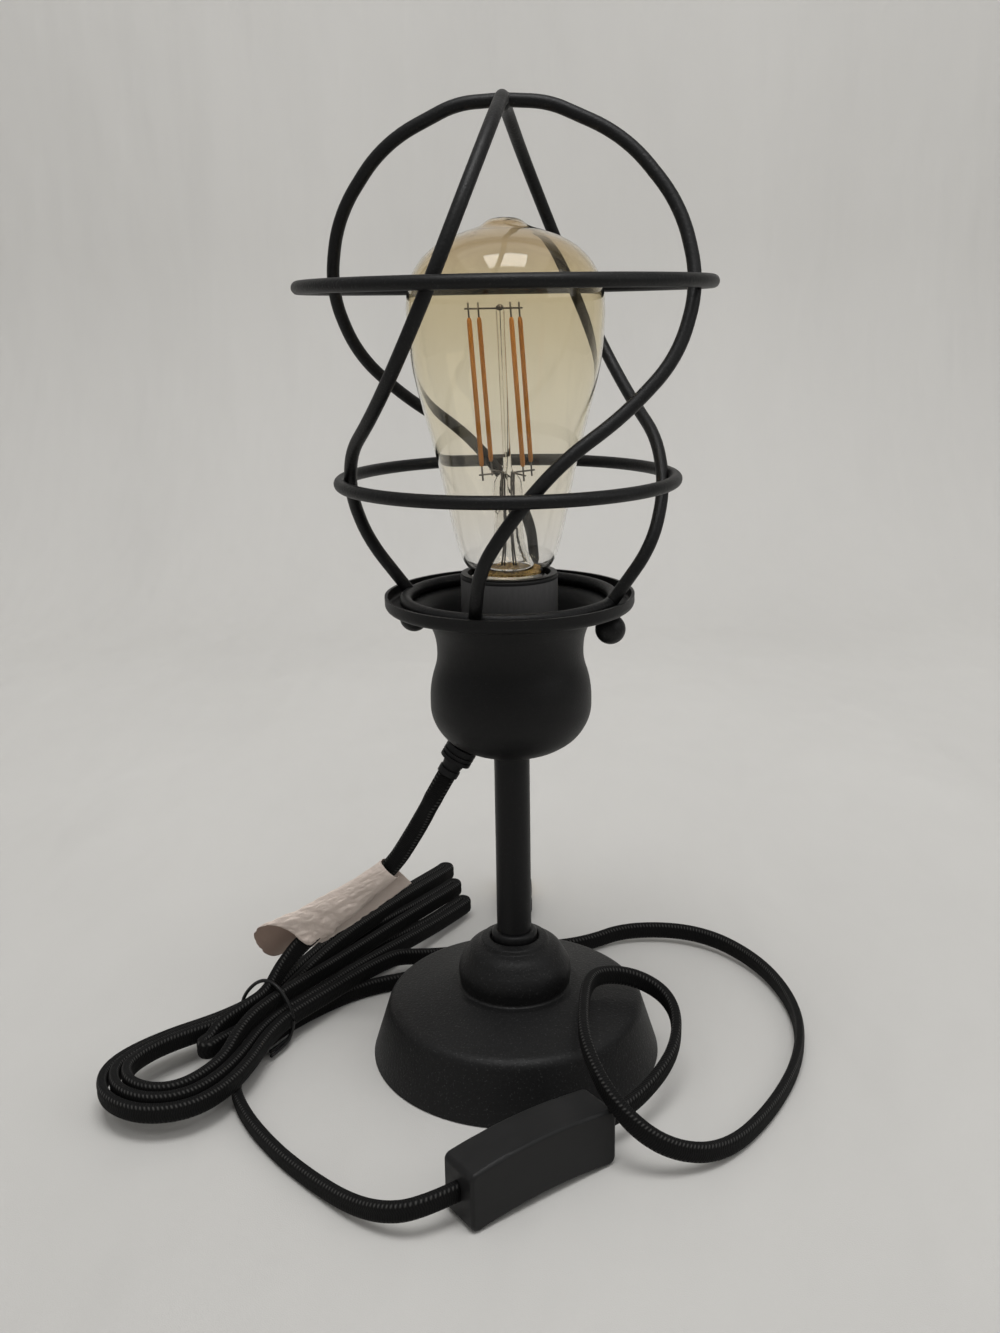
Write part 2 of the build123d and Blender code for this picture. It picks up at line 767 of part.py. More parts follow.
# Hank of cord, tied at its waist behind the base
def hank_point(u, v, z):
    bow = -hank_bow_share * max(u, 0)
    along = (cos(radians(hank_turn)), sin(radians(hank_turn)))
    beside = (along[1], -along[0])
    return (
        hank_place[0] + along[0] * u + beside[0] * (v + bow),
        hank_place[1] + along[1] * u + beside[1] * (v + bow),
        z,
    )


def half_turn(u, v, half, way):
    knee = octagon_share * half
    return [
        (u + way * knee, v + way * half),
        (u + way * half, v + way * knee),
        (u + way * half, v - way * knee),
        (u + way * knee, v - way * half),
    ]


def fold(at, way):
    return [(u, v, at[2]) for u, v in half_turn(at[0], at[1], hank_fold_half, way)]


def left_loop(k):
    turned_back = half_turn(-hank_left_centre, 0, hank_left_half + hank_pitch * k, -1)
    return [(u, v, hank_left_z - hank_left_slope_share * u) for u, v in turned_back]


hank_uvz = [hank_start] + fold(hank_turn_back, -1)
for k, at in enumerate(hank_folds):
    hank_uvz += hank_near_routes[k] + fold(at, 1) + hank_far_routes[k] + left_loop(k)
hank_uvz += hank_near_routes[-1]
hank_points = [hank_point(*at) for at in hank_uvz]
hank_rounds = cord_rounds(hank_points)
cord_hank = tube(hank_points, hank_rounds, cord_d)
print(f"hank least gap to itself {least_gap(hank_points, hank_rounds, cord_d):.2f}")

# Free stretches of cord
gland_tip = gland_spot + gland_way * gland_body_end
hank_in = (Vector(*hank_points[1]) - Vector(*hank_points[0])).normalized()
hank_out = (Vector(*hank_points[-1]) - Vector(*hank_points[-2])).normalized()
lead_join = Vector(*hank_points[0]) - hank_in * lead_straight
feed_join = Vector(*hank_points[-1]) + hank_out * feed_straight
lead_points = (
    [tuple(gland_tip), tuple(gland_tip + gland_way * gland_straight)]
    + lead_route
    + [tuple(lead_join), hank_points[0]]
)
cord_lead = tube(lead_points, cord_rounds(lead_points), cord_d)
switch_way = Vector(cos(radians(switch_turn)), sin(radians(switch_turn)), 0)
switch_spot = Vector(switch_centre[0], switch_centre[1], switch_cord_z)
right_end = switch_spot + switch_way * (switch_long / 2)
left_end = switch_spot - switch_way * (switch_long / 2)
feed_points = (
    [hank_points[-1], tuple(feed_join)]
    + switch_feed_route
    + [tuple(right_end + switch_way * switch_straight), tuple(right_end)]
)
cord_switch_feed = tube(feed_points, cord_rounds(feed_points), cord_d)
plug_way = Vector(cos(radians(plug_turn)), sin(radians(plug_turn)), 0)
plug_points = (
    [tuple(left_end), tuple(left_end - switch_way * switch_straight)]
    + plug_feed_route
    + [tuple(Vector(*plug_entry) - plug_way * plug_straight), plug_entry]
)
cord_plug_feed = tube(plug_points, cord_rounds(plug_points), cord_d)

# Tie round the waist of the hank
tie_points = [hank_point(tie_u, tie_route[0][0] + tie_tail, tie_route[0][1] - tie_d)]
for i, (v, z) in enumerate(tie_route):
    tie_points.append(hank_point(tie_u + tie_step_u * i / (len(tie_route) - 1), v, z))
tie_points.append(hank_point(tie_u + tie_step_u, tie_route[-1][0] + tie_tail, tie_route[-1][1] + tie_d))
tie_rounds = [min(tie_round, r) for r in cord_rounds(tie_points)]
hank_tie = tube(tie_points, tie_rounds, tie_d)

# Blank paper tag rolled round the lead
grip_run = (Vector(*lead_route[2]), Vector(*lead_route[3]))
grip_way = grip_run[1] - grip_run[0]
grip_from = grip_run[0] + grip_way * tag_grip_from_share
grip_to = grip_run[0] + grip_way * tag_grip_to_share
grip_frame = Plane(origin=grip_from, z_dir=grip_way)
grip_r = cord_d / 2 - tag_grip
grip_long = (grip_to - grip_from).length
mouth_frame = Plane(origin=tag_mouth, z_dir=tag_mouth_axis)
grip_end = Plane(origin=grip_to, z_dir=grip_way)
paper_tag = grip_frame * ring_block(grip_r, grip_r + tag_wall, 0, grip_long)
tag_outside = loft([grip_end * Circle(grip_r + tag_wall), mouth_frame * Circle(tag_mouth_r)])
tag_inside = loft([grip_end * Circle(grip_r), mouth_frame * Circle(tag_mouth_r - tag_wall)])
paper_tag += tag_outside - tag_inside

# Hand switch: two shells, rocker, pin, screws and contacts
switch_place = Pos(switch_centre[0], switch_centre[1], 0) * Rot(0, 0, switch_turn)


def switch_block(inset, near, far):
    """The arched side outline, drawn in by the inset, from one depth to another."""
    half = switch_long / 2 - inset
    low = inset
    high = switch_tall - inset
    outline = make_face(
        [
            ThreePointArc((-half, 0, low), (0, 0, low + switch_arch), (half, 0, low)),
            Line((half, 0, low), (half, 0, high)),
            ThreePointArc((half, 0, high), (0, 0, high + switch_arch), (-half, 0, high)),
            Line((-half, 0, high), (-half, 0, low)),
        ]
    )
    block = Pos(0, near, 0) * extrude(outline, far - near, dir=(0, 1, 0))
    corners = block.edges().filter_by(Axis.Y)
    return fillet(corners, max(switch_corner - inset, slip_fit))


half_wide = switch_wide / 2
front = switch_block(0, -half_wide, 0)
front = fillet(front.faces().sort_by(Axis.Y)[0].edges(), switch_edge_round)
front -= switch_block(switch_wall, -half_wide + switch_wall, 0)
back = switch_block(0, 0, half_wide)
back = fillet(back.faces().sort_by(Axis.Y)[-1].edges(), switch_edge_round)
back -= switch_block(switch_wall, 0, half_wide - switch_wall)
pivot_y = half_wide - pivot_in
lug_top = window_z + window_tall / 2
lug_low = window_z - window_tall / 2
for level in (lug_top + lug_tall / 2, lug_low - lug_tall / 2):
    back += Pos(0, half_wide - switch_wall / 2 - lug_deep / 2, level) * Box(lug_long, lug_deep, lug_tall)
back -= Pos(0, half_wide, window_z) * Box(window_long, switch_wide, window_tall)
screws = []
boss_deep = half_wide - switch_wall / 2
head_y = half_wide - screw_head_tall
lying = Rot(-90, 0, 0)
top_align = (Align.CENTER, Align.CENTER, Align.MAX)
for side in (-1, 1):
    at = Pos(side * boss_out, 0, switch_tall / 2)
    boss = lying * Cylinder(boss_r, boss_deep)
    front += at * Pos(0, -boss_deep / 2, 0) * boss
    back += at * Pos(0, boss_deep / 2, 0) * boss
    bore = Pos(0, head_y, 0) * lying * Cylinder(screw_r + screw_gap, screw_long, align=top_align)
    sink = Pos(0, half_wide, 0) * lying * Cylinder(screw_head_r + screw_gap, screw_head_tall, align=top_align)
    front -= at * (bore + sink)
    back -= at * (bore + sink)
    shank = Pos(0, head_y, 0) * lying * Cylinder(screw_r, screw_long, align=top_align)
    head = Pos(0, half_wide, 0) * lying * Cylinder(screw_head_r, screw_head_tall, align=top_align)
    screws.append(at * (shank + head))
switch_front = switch_place * front
switch_back = switch_place * back
switch_screws = switch_place * Compound(screws)
rocker_half = window_long / 2 - rocker_gap
rocker_face_y = rocker_proud + pivot_in
rocker_plan = make_face(
    Polyline(
        [
            (-rocker_half, rocker_face_y - rocker_deep),
            (rocker_half, rocker_face_y - rocker_deep),
            (rocker_half, rocker_face_y),
            (0, rocker_face_y - rocker_dip),
            (-rocker_half, rocker_face_y),
        ],
        close=True,
    )
)
rocker_tall = window_tall - rocker_gap - rocker_gap
rocker = Pos(0, 0, -rocker_tall / 2) * extrude(rocker_plan, rocker_tall)
rocker -= Cylinder(pin_r + pin_gap, rocker_tall)
rocker_place = switch_place * Pos(0, pivot_y, window_z)
switch_rocker = rocker_place * Rot(0, 0, rocker_tilt) * rocker
rocker_pin = rocker_place * Cylinder(pin_r, window_tall + pin_bite + pin_bite)
contacts = [
    Pos(side * contact_out, -half_wide + switch_wall + contact_thick / 2, switch_tall / 2 + switch_arch / 2)
    * Box(contact_long, contact_thick, contact_tall)
    for side in (-1, 1)
]
switch_contacts = switch_place * Compound(contacts)

# Plug
plug_frame = Pos(*plug_entry) * Rot(0, 0, plug_turn)
plug_tail = Plane.YZ.location * Cone(
    plug_relief_r, plug_relief_wide_r, plug_relief_long, align=(Align.CENTER, Align.CENTER, Align.MIN)
)
plug_box = Box(plug_long, plug_wide, plug_tall)
plug_box = fillet(plug_box.edges(), plug_round)
plug_mid = plug_relief_long + plug_long / 2
blade_mid = plug_mid + plug_long / 2 + blade_long / 2 - blade_root / 2
blades = Compound(
    [
        Pos(blade_mid, side * blade_apart / 2, 0) * Box(blade_long + blade_root, blade_thick, tall)
        for side, tall in ((-1, blade_tall), (1, blade_tall_wide))
    ]
)
plug_body = plug_frame * (Pos(plug_mid, 0, 0) * plug_box + plug_tail - blades)
plug_blades = plug_frame * blades

nodes = {
    "base_shell": base_shell,
    "base_weight": base_weight,
    "base_pad": base_pad,
    "base_washer": base_washer,
    "base_nut": base_nut,
    "column_tube": column_tube,
    "foot_collar": foot_collar,
    "threaded_rod": threaded_rod,
    "socket_cup": socket_cup,
    "cup_washer": cup_washer,
    "cup_nut": cup_nut,
    "cord_gland": cord_gland,
    "socket_cap": socket_cap,
    "socket_body": socket_body,
    "socket_sleeve": socket_sleeve,
    "screw_shell": screw_shell,
    "centre_contact": centre_contact,
    "terminal_screws": terminal_screws,
    "cage_foot_ring": cage_foot_ring,
    "cage_lower_hoop": cage_lower_hoop,
    "cage_upper_hoop": cage_upper_hoop,
    "cage_top_weld": cage_top_weld,
    "cage_wire_right": cage_wires[0],
    "cage_wire_back": cage_wires[1],
    "cage_wire_left": cage_wires[2],
    "cage_wire_front": cage_wires[3],
    "cage_stud_right": cage_studs[0],
    "cage_stud_left": cage_studs[1],
    "ball_nut_right": ball_nuts[0],
    "ball_nut_left": ball_nuts[1],
    "bulb_glass": bulb_glass,
    "bulb_cap": bulb_cap,
    "bulb_isolator": bulb_isolator,
    "bulb_contact": bulb_contact,
    "bulb_disc": bulb_disc,
    "bulb_stem": bulb_stem,
    "bulb_filaments": bulb_filaments,
    "bulb_supports": bulb_supports,
    "cord_lead": cord_lead,
    "cord_hank": cord_hank,
    "cord_switch_feed": cord_switch_feed,
    "cord_plug_feed": cord_plug_feed,
    "hank_tie": hank_tie,
    "paper_tag": paper_tag,
    "switch_front": switch_front,
    "switch_back": switch_back,
    "switch_screws": switch_screws,
    "switch_rocker": switch_rocker,
    "rocker_pin": rocker_pin,
    "switch_contacts": switch_contacts,
    "plug_body": plug_body,
    "plug_blades": plug_blades,
}
for name, solid in nodes.items():
    export_step(solid, f"parts/{name}.step")
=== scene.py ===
import bmesh
import bpy
from math import cos, exp, pi, radians, sin
from mathutils import Matrix, Vector, noise


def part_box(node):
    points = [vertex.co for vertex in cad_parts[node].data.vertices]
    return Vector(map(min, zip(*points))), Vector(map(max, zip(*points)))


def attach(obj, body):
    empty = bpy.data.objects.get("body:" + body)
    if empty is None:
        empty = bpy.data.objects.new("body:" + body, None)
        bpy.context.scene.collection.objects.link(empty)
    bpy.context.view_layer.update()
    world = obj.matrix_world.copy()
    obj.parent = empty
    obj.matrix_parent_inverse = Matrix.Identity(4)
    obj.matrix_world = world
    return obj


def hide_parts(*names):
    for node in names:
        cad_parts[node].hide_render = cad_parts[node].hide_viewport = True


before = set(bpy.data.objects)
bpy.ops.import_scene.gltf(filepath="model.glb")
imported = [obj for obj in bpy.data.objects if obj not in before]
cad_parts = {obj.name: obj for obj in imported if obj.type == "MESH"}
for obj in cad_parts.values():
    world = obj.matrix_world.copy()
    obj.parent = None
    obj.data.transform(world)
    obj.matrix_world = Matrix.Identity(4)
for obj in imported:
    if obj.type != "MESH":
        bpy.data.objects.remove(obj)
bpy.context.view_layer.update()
scene = bpy.context.scene
scene.view_settings.view_transform = "Standard"

# The lamp is looked at from a little above the bulb, close by, with the picture upright.
# The view was worked out from the hoops, the base and the rim of the cup.
eye = Vector((-0.000732, -0.433007, 0.269946))
pitch, yaw, roll = radians(15.578), radians(-0.390), radians(-0.957)
view_long_px, focus_px = 1333, 1284.49
ahead = Vector((sin(yaw) * cos(pitch), cos(yaw) * cos(pitch), -sin(pitch)))
level = Vector((cos(yaw), -sin(yaw), 0))
upward = level.cross(ahead)
across = level * cos(roll) + upward * sin(roll)
above = upward * cos(roll) - level * sin(roll)
camera = bpy.data.objects.new("camera", bpy.data.cameras.new("camera"))
camera.matrix_world = Matrix((across, above, -ahead)).transposed().to_4x4()
camera.location = eye
camera.data.lens = camera.data.sensor_width * focus_px / view_long_px
camera.data.clip_start = 0.01
scene.collection.objects.link(camera)
scene.camera = camera


# A pale cotton sheet hangs behind the lamp and runs forward under it in one sweep.
# It is plain and a little creased, and soft ceiling light falls on it from above and in front; its colour is
# painted lighter towards the back and on crease patches as painted light.
class Reading:
    """One socket of a finish's nodes: sums written on it add Math nodes."""

    def __init__(self, finish, socket):
        self.finish = finish
        self.socket = socket

    def math(self, operation, *values):
        return self.finish.node("ShaderNodeMath", {"operation": operation}, dict(enumerate(values)))

    def __add__(self, other):
        return self.math("ADD", self, other)

    def __sub__(self, other):
        return self.math("SUBTRACT", self, other)

    def __rsub__(self, other):
        return self.math("SUBTRACT", other, self)

    def __mul__(self, other):
        return self.math("MULTIPLY", self, other)

    def __truediv__(self, other):
        return self.math("DIVIDE", self, other)

    def __pow__(self, other):
        return self.math("POWER", self, other)

    __radd__ = __add__
    __rmul__ = __mul__

    def between(self, low, high):
        """0 below low, 1 above high, and a straight rise from one to the other."""
        return self.finish.node("ShaderNodeMapRange", {}, {0: self, 1: low, 2: high})


class Finish:
    """A material whose nodes are added one at a time round its main shader."""

    def __init__(self, name, **constants):
        self.material = bpy.data.materials.new(name)
        self.material.use_nodes = True
        self.tree = self.material.node_tree
        self.shader = self.tree.nodes["Principled BSDF"]
        for socket, value in constants.items():
            self.shader.inputs[socket.replace("_", " ")].default_value = value

    def node(self, kind, settings, sockets, out=0):
        added = self.tree.nodes.new(kind)
        for name, value in settings.items():
            if name == "stops":
                self.ramp(added.color_ramp, value)
            else:
                setattr(added, name, value)
        for name, value in sockets.items():
            if isinstance(value, Reading):
                self.tree.links.new(value.socket, added.inputs[name])
            else:
                added.inputs[name].default_value = value
        return Reading(self, added.outputs[out])

    def ramp(self, ramp, stops):
        while len(ramp.elements) < len(stops):
            ramp.elements.new(1)
        for element, (place, colour) in zip(ramp.elements, stops):
            element.position = place
            element.color = (*colour, 1)

    def feed(self, **readings):
        for socket, reading in readings.items():
            self.tree.links.new(reading.socket, self.shader.inputs[socket.replace("_", " ")])
        return self

    def place(self):
        return self.node("ShaderNodeTexCoord", {}, {}, "Object")

    def stretched(self, vector, scale):
        return self.node("ShaderNodeVectorMath", {"operation": "MULTIPLY"}, {0: vector, 1: scale})

    def axis(self, vector, letter):
        return self.node("ShaderNodeSeparateXYZ", {}, {0: vector}, letter)

    def cloud(self, vector, scale, detail=3, rough=0.5):
        sizes = {"Vector": vector, "Scale": scale, "Detail": detail, "Roughness": rough}
        return self.node("ShaderNodeTexNoise", {}, sizes)

    def ramped(self, value, *stops):
        return self.node("ShaderNodeValToRGB", {"stops": stops}, {0: value})

    def mixed(self, share, first, second):
        sockets = {0: share, 6: first, 7: second}
        return self.node("ShaderNodeMix", {"data_type": "RGBA"}, sockets, 2)

    def bumped(self, height, strength, deep):
        sockets = {"Strength": strength, "Distance": deep, "Height": height}
        return self.node("ShaderNodeBump", {}, sockets, "Normal")


sheet_front, sheet_back, sheet_half, sheet_sweep, sheet_top = -1.2, 0.62, 1.5, 0.34, 1.5
sweep_steps = 14
sheet_line = [(sheet_front, 0)]
for i in range(sweep_steps + 1):
    turn = pi / 2 * i / sweep_steps
    sheet_line.append((sheet_back + sheet_sweep * sin(turn), sheet_sweep * (1 - cos(turn))))
sheet_line.append((sheet_back + sheet_sweep, sheet_top))
sheet_mesh = bpy.data.meshes.new("sheet")
sheet_mesh.from_pydata(
    [(side * sheet_half, y, z) for y, z in sheet_line for side in (-1, 1)],
    [],
    [(2 * i, 2 * i + 1, 2 * i + 3, 2 * i + 2) for i in range(len(sheet_line) - 1)],
)
for face in sheet_mesh.polygons:
    face.use_smooth = True
sheet = bpy.data.objects.new("sheet", sheet_mesh)
scene.collection.objects.link(sheet)
cotton = Finish("sheet_cotton", Roughness=0.9, Specular_IOR_Level=0.1)
cloth_place = cotton.place()
creases = cotton.cloud(cotton.stretched(cloth_place, (3.0, 1.6, 0.8)), 1.6, 4, 0.55)
weave = cotton.cloud(cloth_place, 2200, 1)
# Painted light: lighter towards the back where the backdrop stands up, and lighter on crease patches as painted
# fold shading.
painted_light = cotton.axis(cloth_place, "Y").between(-0.35, 0.5) * 0.8 + creases.between(0.3, 0.75) * 0.2
cotton.feed(
    Base_Color=cotton.ramped(painted_light, (0.0, (0.500, 0.492, 0.474)), (1.0, (0.690, 0.679, 0.655))),
    Normal=cotton.bumped(creases * 6 + weave * 0.02, 0.35, 0.01),
)
sheet_mesh.materials.append(cotton.material)

soft_lamps = {
    "ceiling_lamp": ((0.02, -0.42, 1.75), 2.2, 2.2, 9.6),
    "ceiling_panel": ((0.026, -0.364, 1.53), 0.80, 0.55, 10.6),
    "window_lamp": ((-1.25, -0.35, 0.95), 1.5, 1.5, 1.0),
    "room_lamp": ((1.2, -0.5, 0.9), 0.9, 0.9, 2.8),
}
lit_spot = Vector((0, 0.02, 0.15))
for name, (place, wide, deep, watts) in soft_lamps.items():
    lamp = bpy.data.objects.new(name, bpy.data.lights.new(name, "AREA"))
    lamp.location = place
    lamp.rotation_euler = (lit_spot - lamp.location).to_track_quat("-Z", "Y").to_euler()
    lamp.data.shape = "RECTANGLE"
    lamp.data.size, lamp.data.size_y = wide, deep
    lamp.data.energy = watts
    scene.collection.objects.link(lamp)
scene.world = bpy.data.worlds.new("room")
scene.world.use_nodes = True
room = scene.world.node_tree.nodes["Background"].inputs
room["Color"].default_value = (1.0, 0.985, 0.96, 1)
room["Strength"].default_value = 0.28


# Base shell: spun sheet steel with a domed middle, blasted and powder coated matte black.
# The coat is a fine orange peel; tiny lighter flecks in its colour are painted glints of light on the grain.
def dress(finish, *names):
    for name in names:
        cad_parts[name].material_slots[0].material = finish.material


def powder_coat(name, tone, rough, peel_size, peel_deep, painted_glint_share=0.06):
    """Black powder coat: orange peel, painted glints and faint dust, in the piece's own place."""
    coat = Finish(name, Specular_IOR_Level=0.24)
    place = coat.place()
    peel = coat.cloud(place, 1 / peel_size, 2, 0.55)
    patches = coat.cloud(place, 45, 4, 0.6)
    painted_glints = coat.cloud(place, 1 / (peel_size * 0.6), 1).between(0.62, 0.74)
    dust = coat.cloud(place, 900, 2).between(0.66, 0.8) * patches.between(0.4, 0.7)
    dark = coat.mixed(patches, [*(t * 0.82 for t in tone), 1], [*(t * 1.2 for t in tone), 1])
    coat.feed(
        # Painted highlight: the glint flecks lighten the colour where light would catch the grain; the dust is
        # real.
        Base_Color=coat.mixed(dust * 0.16 + painted_glints * painted_glint_share, dark, (0.1, 0.1, 0.1, 1)),
        Roughness=rough + patches * 0.1 - painted_glints * 0.14,
        Normal=coat.bumped(peel, 0.5, peel_deep),
    )
    return coat


base_tone = (0.0068, 0.0068, 0.0070)
# The base carries the strongest painted highlight flecks.
base_coat = powder_coat("base_powder", base_tone, rough=0.46, peel_size=0.0010, peel_deep=0.00036, painted_glint_share=0.26)
dress(base_coat, "base_shell")


# Under the base: a cast iron weight with its own rusted skin, a black foam pad glued to it,
# and a zinc plated washer and nut that draw the whole stand together on the rod.
def zinc_plate(name, tone):
    plate = Finish(name, Metallic=1.0)
    place = plate.place()
    bloom = plate.cloud(place, 320, 4, 0.65)
    scratch = plate.cloud(plate.stretched(place, (1, 1, 0.08)), 2600, 2)
    dulled = [t * share for t, share in zip(tone, (0.75, 0.76, 0.82))]
    plate.feed(
        Base_Color=plate.mixed(bloom, [*tone, 1], [*dulled, 1]),
        Roughness=0.26 + bloom * 0.22,
        Normal=plate.bumped(scratch, 0.15, 0.0001),
    )
    return plate


iron = Finish("cast_iron", Metallic=0.7)
iron_place = iron.place()
iron_grain = iron.cloud(iron_place, 900, 4, 0.7)
iron_rust = iron.cloud(iron_place, 130, 4, 0.6).between(0.52, 0.75)
iron.feed(
    Base_Color=iron.mixed(iron_rust * 0.6, (0.09, 0.09, 0.095, 1), (0.16, 0.085, 0.045, 1)),
    Roughness=0.55 + iron_grain * 0.35,
    Normal=iron.bumped(iron_grain, 0.7, 0.0005),
)
foam = Finish("pad_foam", Roughness=0.95, Specular_IOR_Level=0.2)
foam_place = foam.place()
foam_cells = foam.node("ShaderNodeTexVoronoi", {}, {"Vector": foam_place, "Scale": 2300}, "Distance")
foam.feed(
    Base_Color=foam.ramped(foam_cells, (0.0, (0.012, 0.012, 0.012)), (0.7, (0.038, 0.038, 0.04))),
    Normal=foam.bumped(foam_cells, 0.6, 0.0003),
)
bright_zinc = zinc_plate("zinc_plate", (0.66, 0.67, 0.69))
dress(iron, "base_weight")
dress(foam, "base_pad")
dress(bright_zinc, "base_washer", "base_nut")


# Column: a plain steel tube slipped over a threaded rod, lacquered satin black, in a turned collar.
# The rod is rolled all the way with a fine thread and holds base, column and cup in one stack.
def new_piece(name, shape):
    bmesh.ops.recalc_face_normals(shape, faces=shape.faces)
    mesh = bpy.data.meshes.new(name)
    shape.to_mesh(mesh)
    shape.free()
    piece = bpy.data.objects.new(name, mesh)
    scene.collection.objects.link(piece)
    return piece


def skin_over(shape, rings, ring=False):
    """Faces from each ring of points to the next, shut at both ends or, as a ring, joined end to end."""
    around = len(rings[0])
    for low, high in zip(rings, rings[1:] + rings[:1] if ring else rings[1:]):
        for i in range(around):
            shape.faces.new((low[i], low[i - around + 1], high[i - around + 1], high[i])).smooth = True
    if not ring:
        shape.faces.new(rings[0])
        shape.faces.new(rings[-1])


def turned_skin(name, rows, around, spot_at, ring=False):
    """A skin turned round the lamp's axis, shut at both ends or, as a ring, joined end to end.

    spot_at gives the radius and the sideways shift for a row's radius, height and turn.
    """
    shape = bmesh.new()
    rings = []
    for row_r, z in rows:
        spots = []
        for i in range(around):
            turn = 2 * pi * i / around
            r, shift = spot_at(row_r, z, turn)
            spots.append(shape.verts.new((r * cos(turn) + shift, r * sin(turn), z)))
        rings.append(spots)
    skin_over(shape, rings, ring)
    return new_piece(name, shape)


def plain_spot(r, z, turn):
    return r, 0


def fit(piece, body, slot, finish, *nodes):
    """The piece rides on its body, stands for its nodes and takes its finish."""
    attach(piece, body)
    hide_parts(*nodes)
    piece.data.materials.append(finish.material)
    return piece


rod_low, rod_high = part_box("threaded_rod")
rod_r, rod_long, rod_around = rod_high.x, rod_high.z - rod_low.z, 20
rod_pitch, rod_thread, rod_rows = 0.001, 0.00045, 4
rod_count = int(rod_long / rod_pitch * rod_rows)


def rod_spot(r, z, turn):
    return r - rod_thread / 2 + rod_thread / 2 * cos(2 * pi * z / rod_pitch - turn), 0


rod_profile = [(rod_r, rod_low.z + rod_long * i / rod_count) for i in range(rod_count + 1)]
rod = turned_skin("rod_thread", rod_profile, rod_around, rod_spot)
fit(rod, "lamp", "zinc", bright_zinc, "threaded_rod")
column_tone = (0.0042, 0.0042, 0.0046)
column_coat = powder_coat("column_lacquer", column_tone, rough=0.40, peel_size=0.0009, peel_deep=0.00006)
dress(column_coat, "column_tube", "foot_collar")


# Cup: a spun bell with a dished rim, powder coated in the same black, a shade smoother than the base.
# A zinc plated washer and nut on the rod clamp it to the column.
# A nylon gland is pushed into its slope and grips the cord where it comes out.
def moulded(name, tone, rough, grain_size, grain_deep):
    """Black moulding: spark-eroded grain, faint flow marks and dull rubbed patches."""
    plastic = Finish(name, Specular_IOR_Level=0.25)
    place = plastic.place()
    grain = plastic.cloud(place, 1 / grain_size, 2, 0.6)
    rubbed = plastic.cloud(place, 60, 4, 0.6)
    plastic.feed(
        Base_Color=plastic.mixed(rubbed, [*(t * 0.8 for t in tone), 1], [*(t * 1.25 for t in tone), 1]),
        Roughness=rough + rubbed * 0.14 + grain * 0.06,
        Normal=plastic.bumped(grain, 0.4, grain_deep),
    )
    return plastic


cup_tone, gland_tone = (0.0044, 0.0044, 0.0046), (0.005, 0.005, 0.0055)
dress(powder_coat("cup_powder", cup_tone, rough=0.44, peel_size=0.0006, peel_deep=0.0001), "socket_cup")
dress(moulded("gland_nylon", gland_tone, rough=0.42, grain_size=0.0005, grain_deep=0.00005), "cord_gland")
dress(bright_zinc, "cup_washer", "cup_nut")


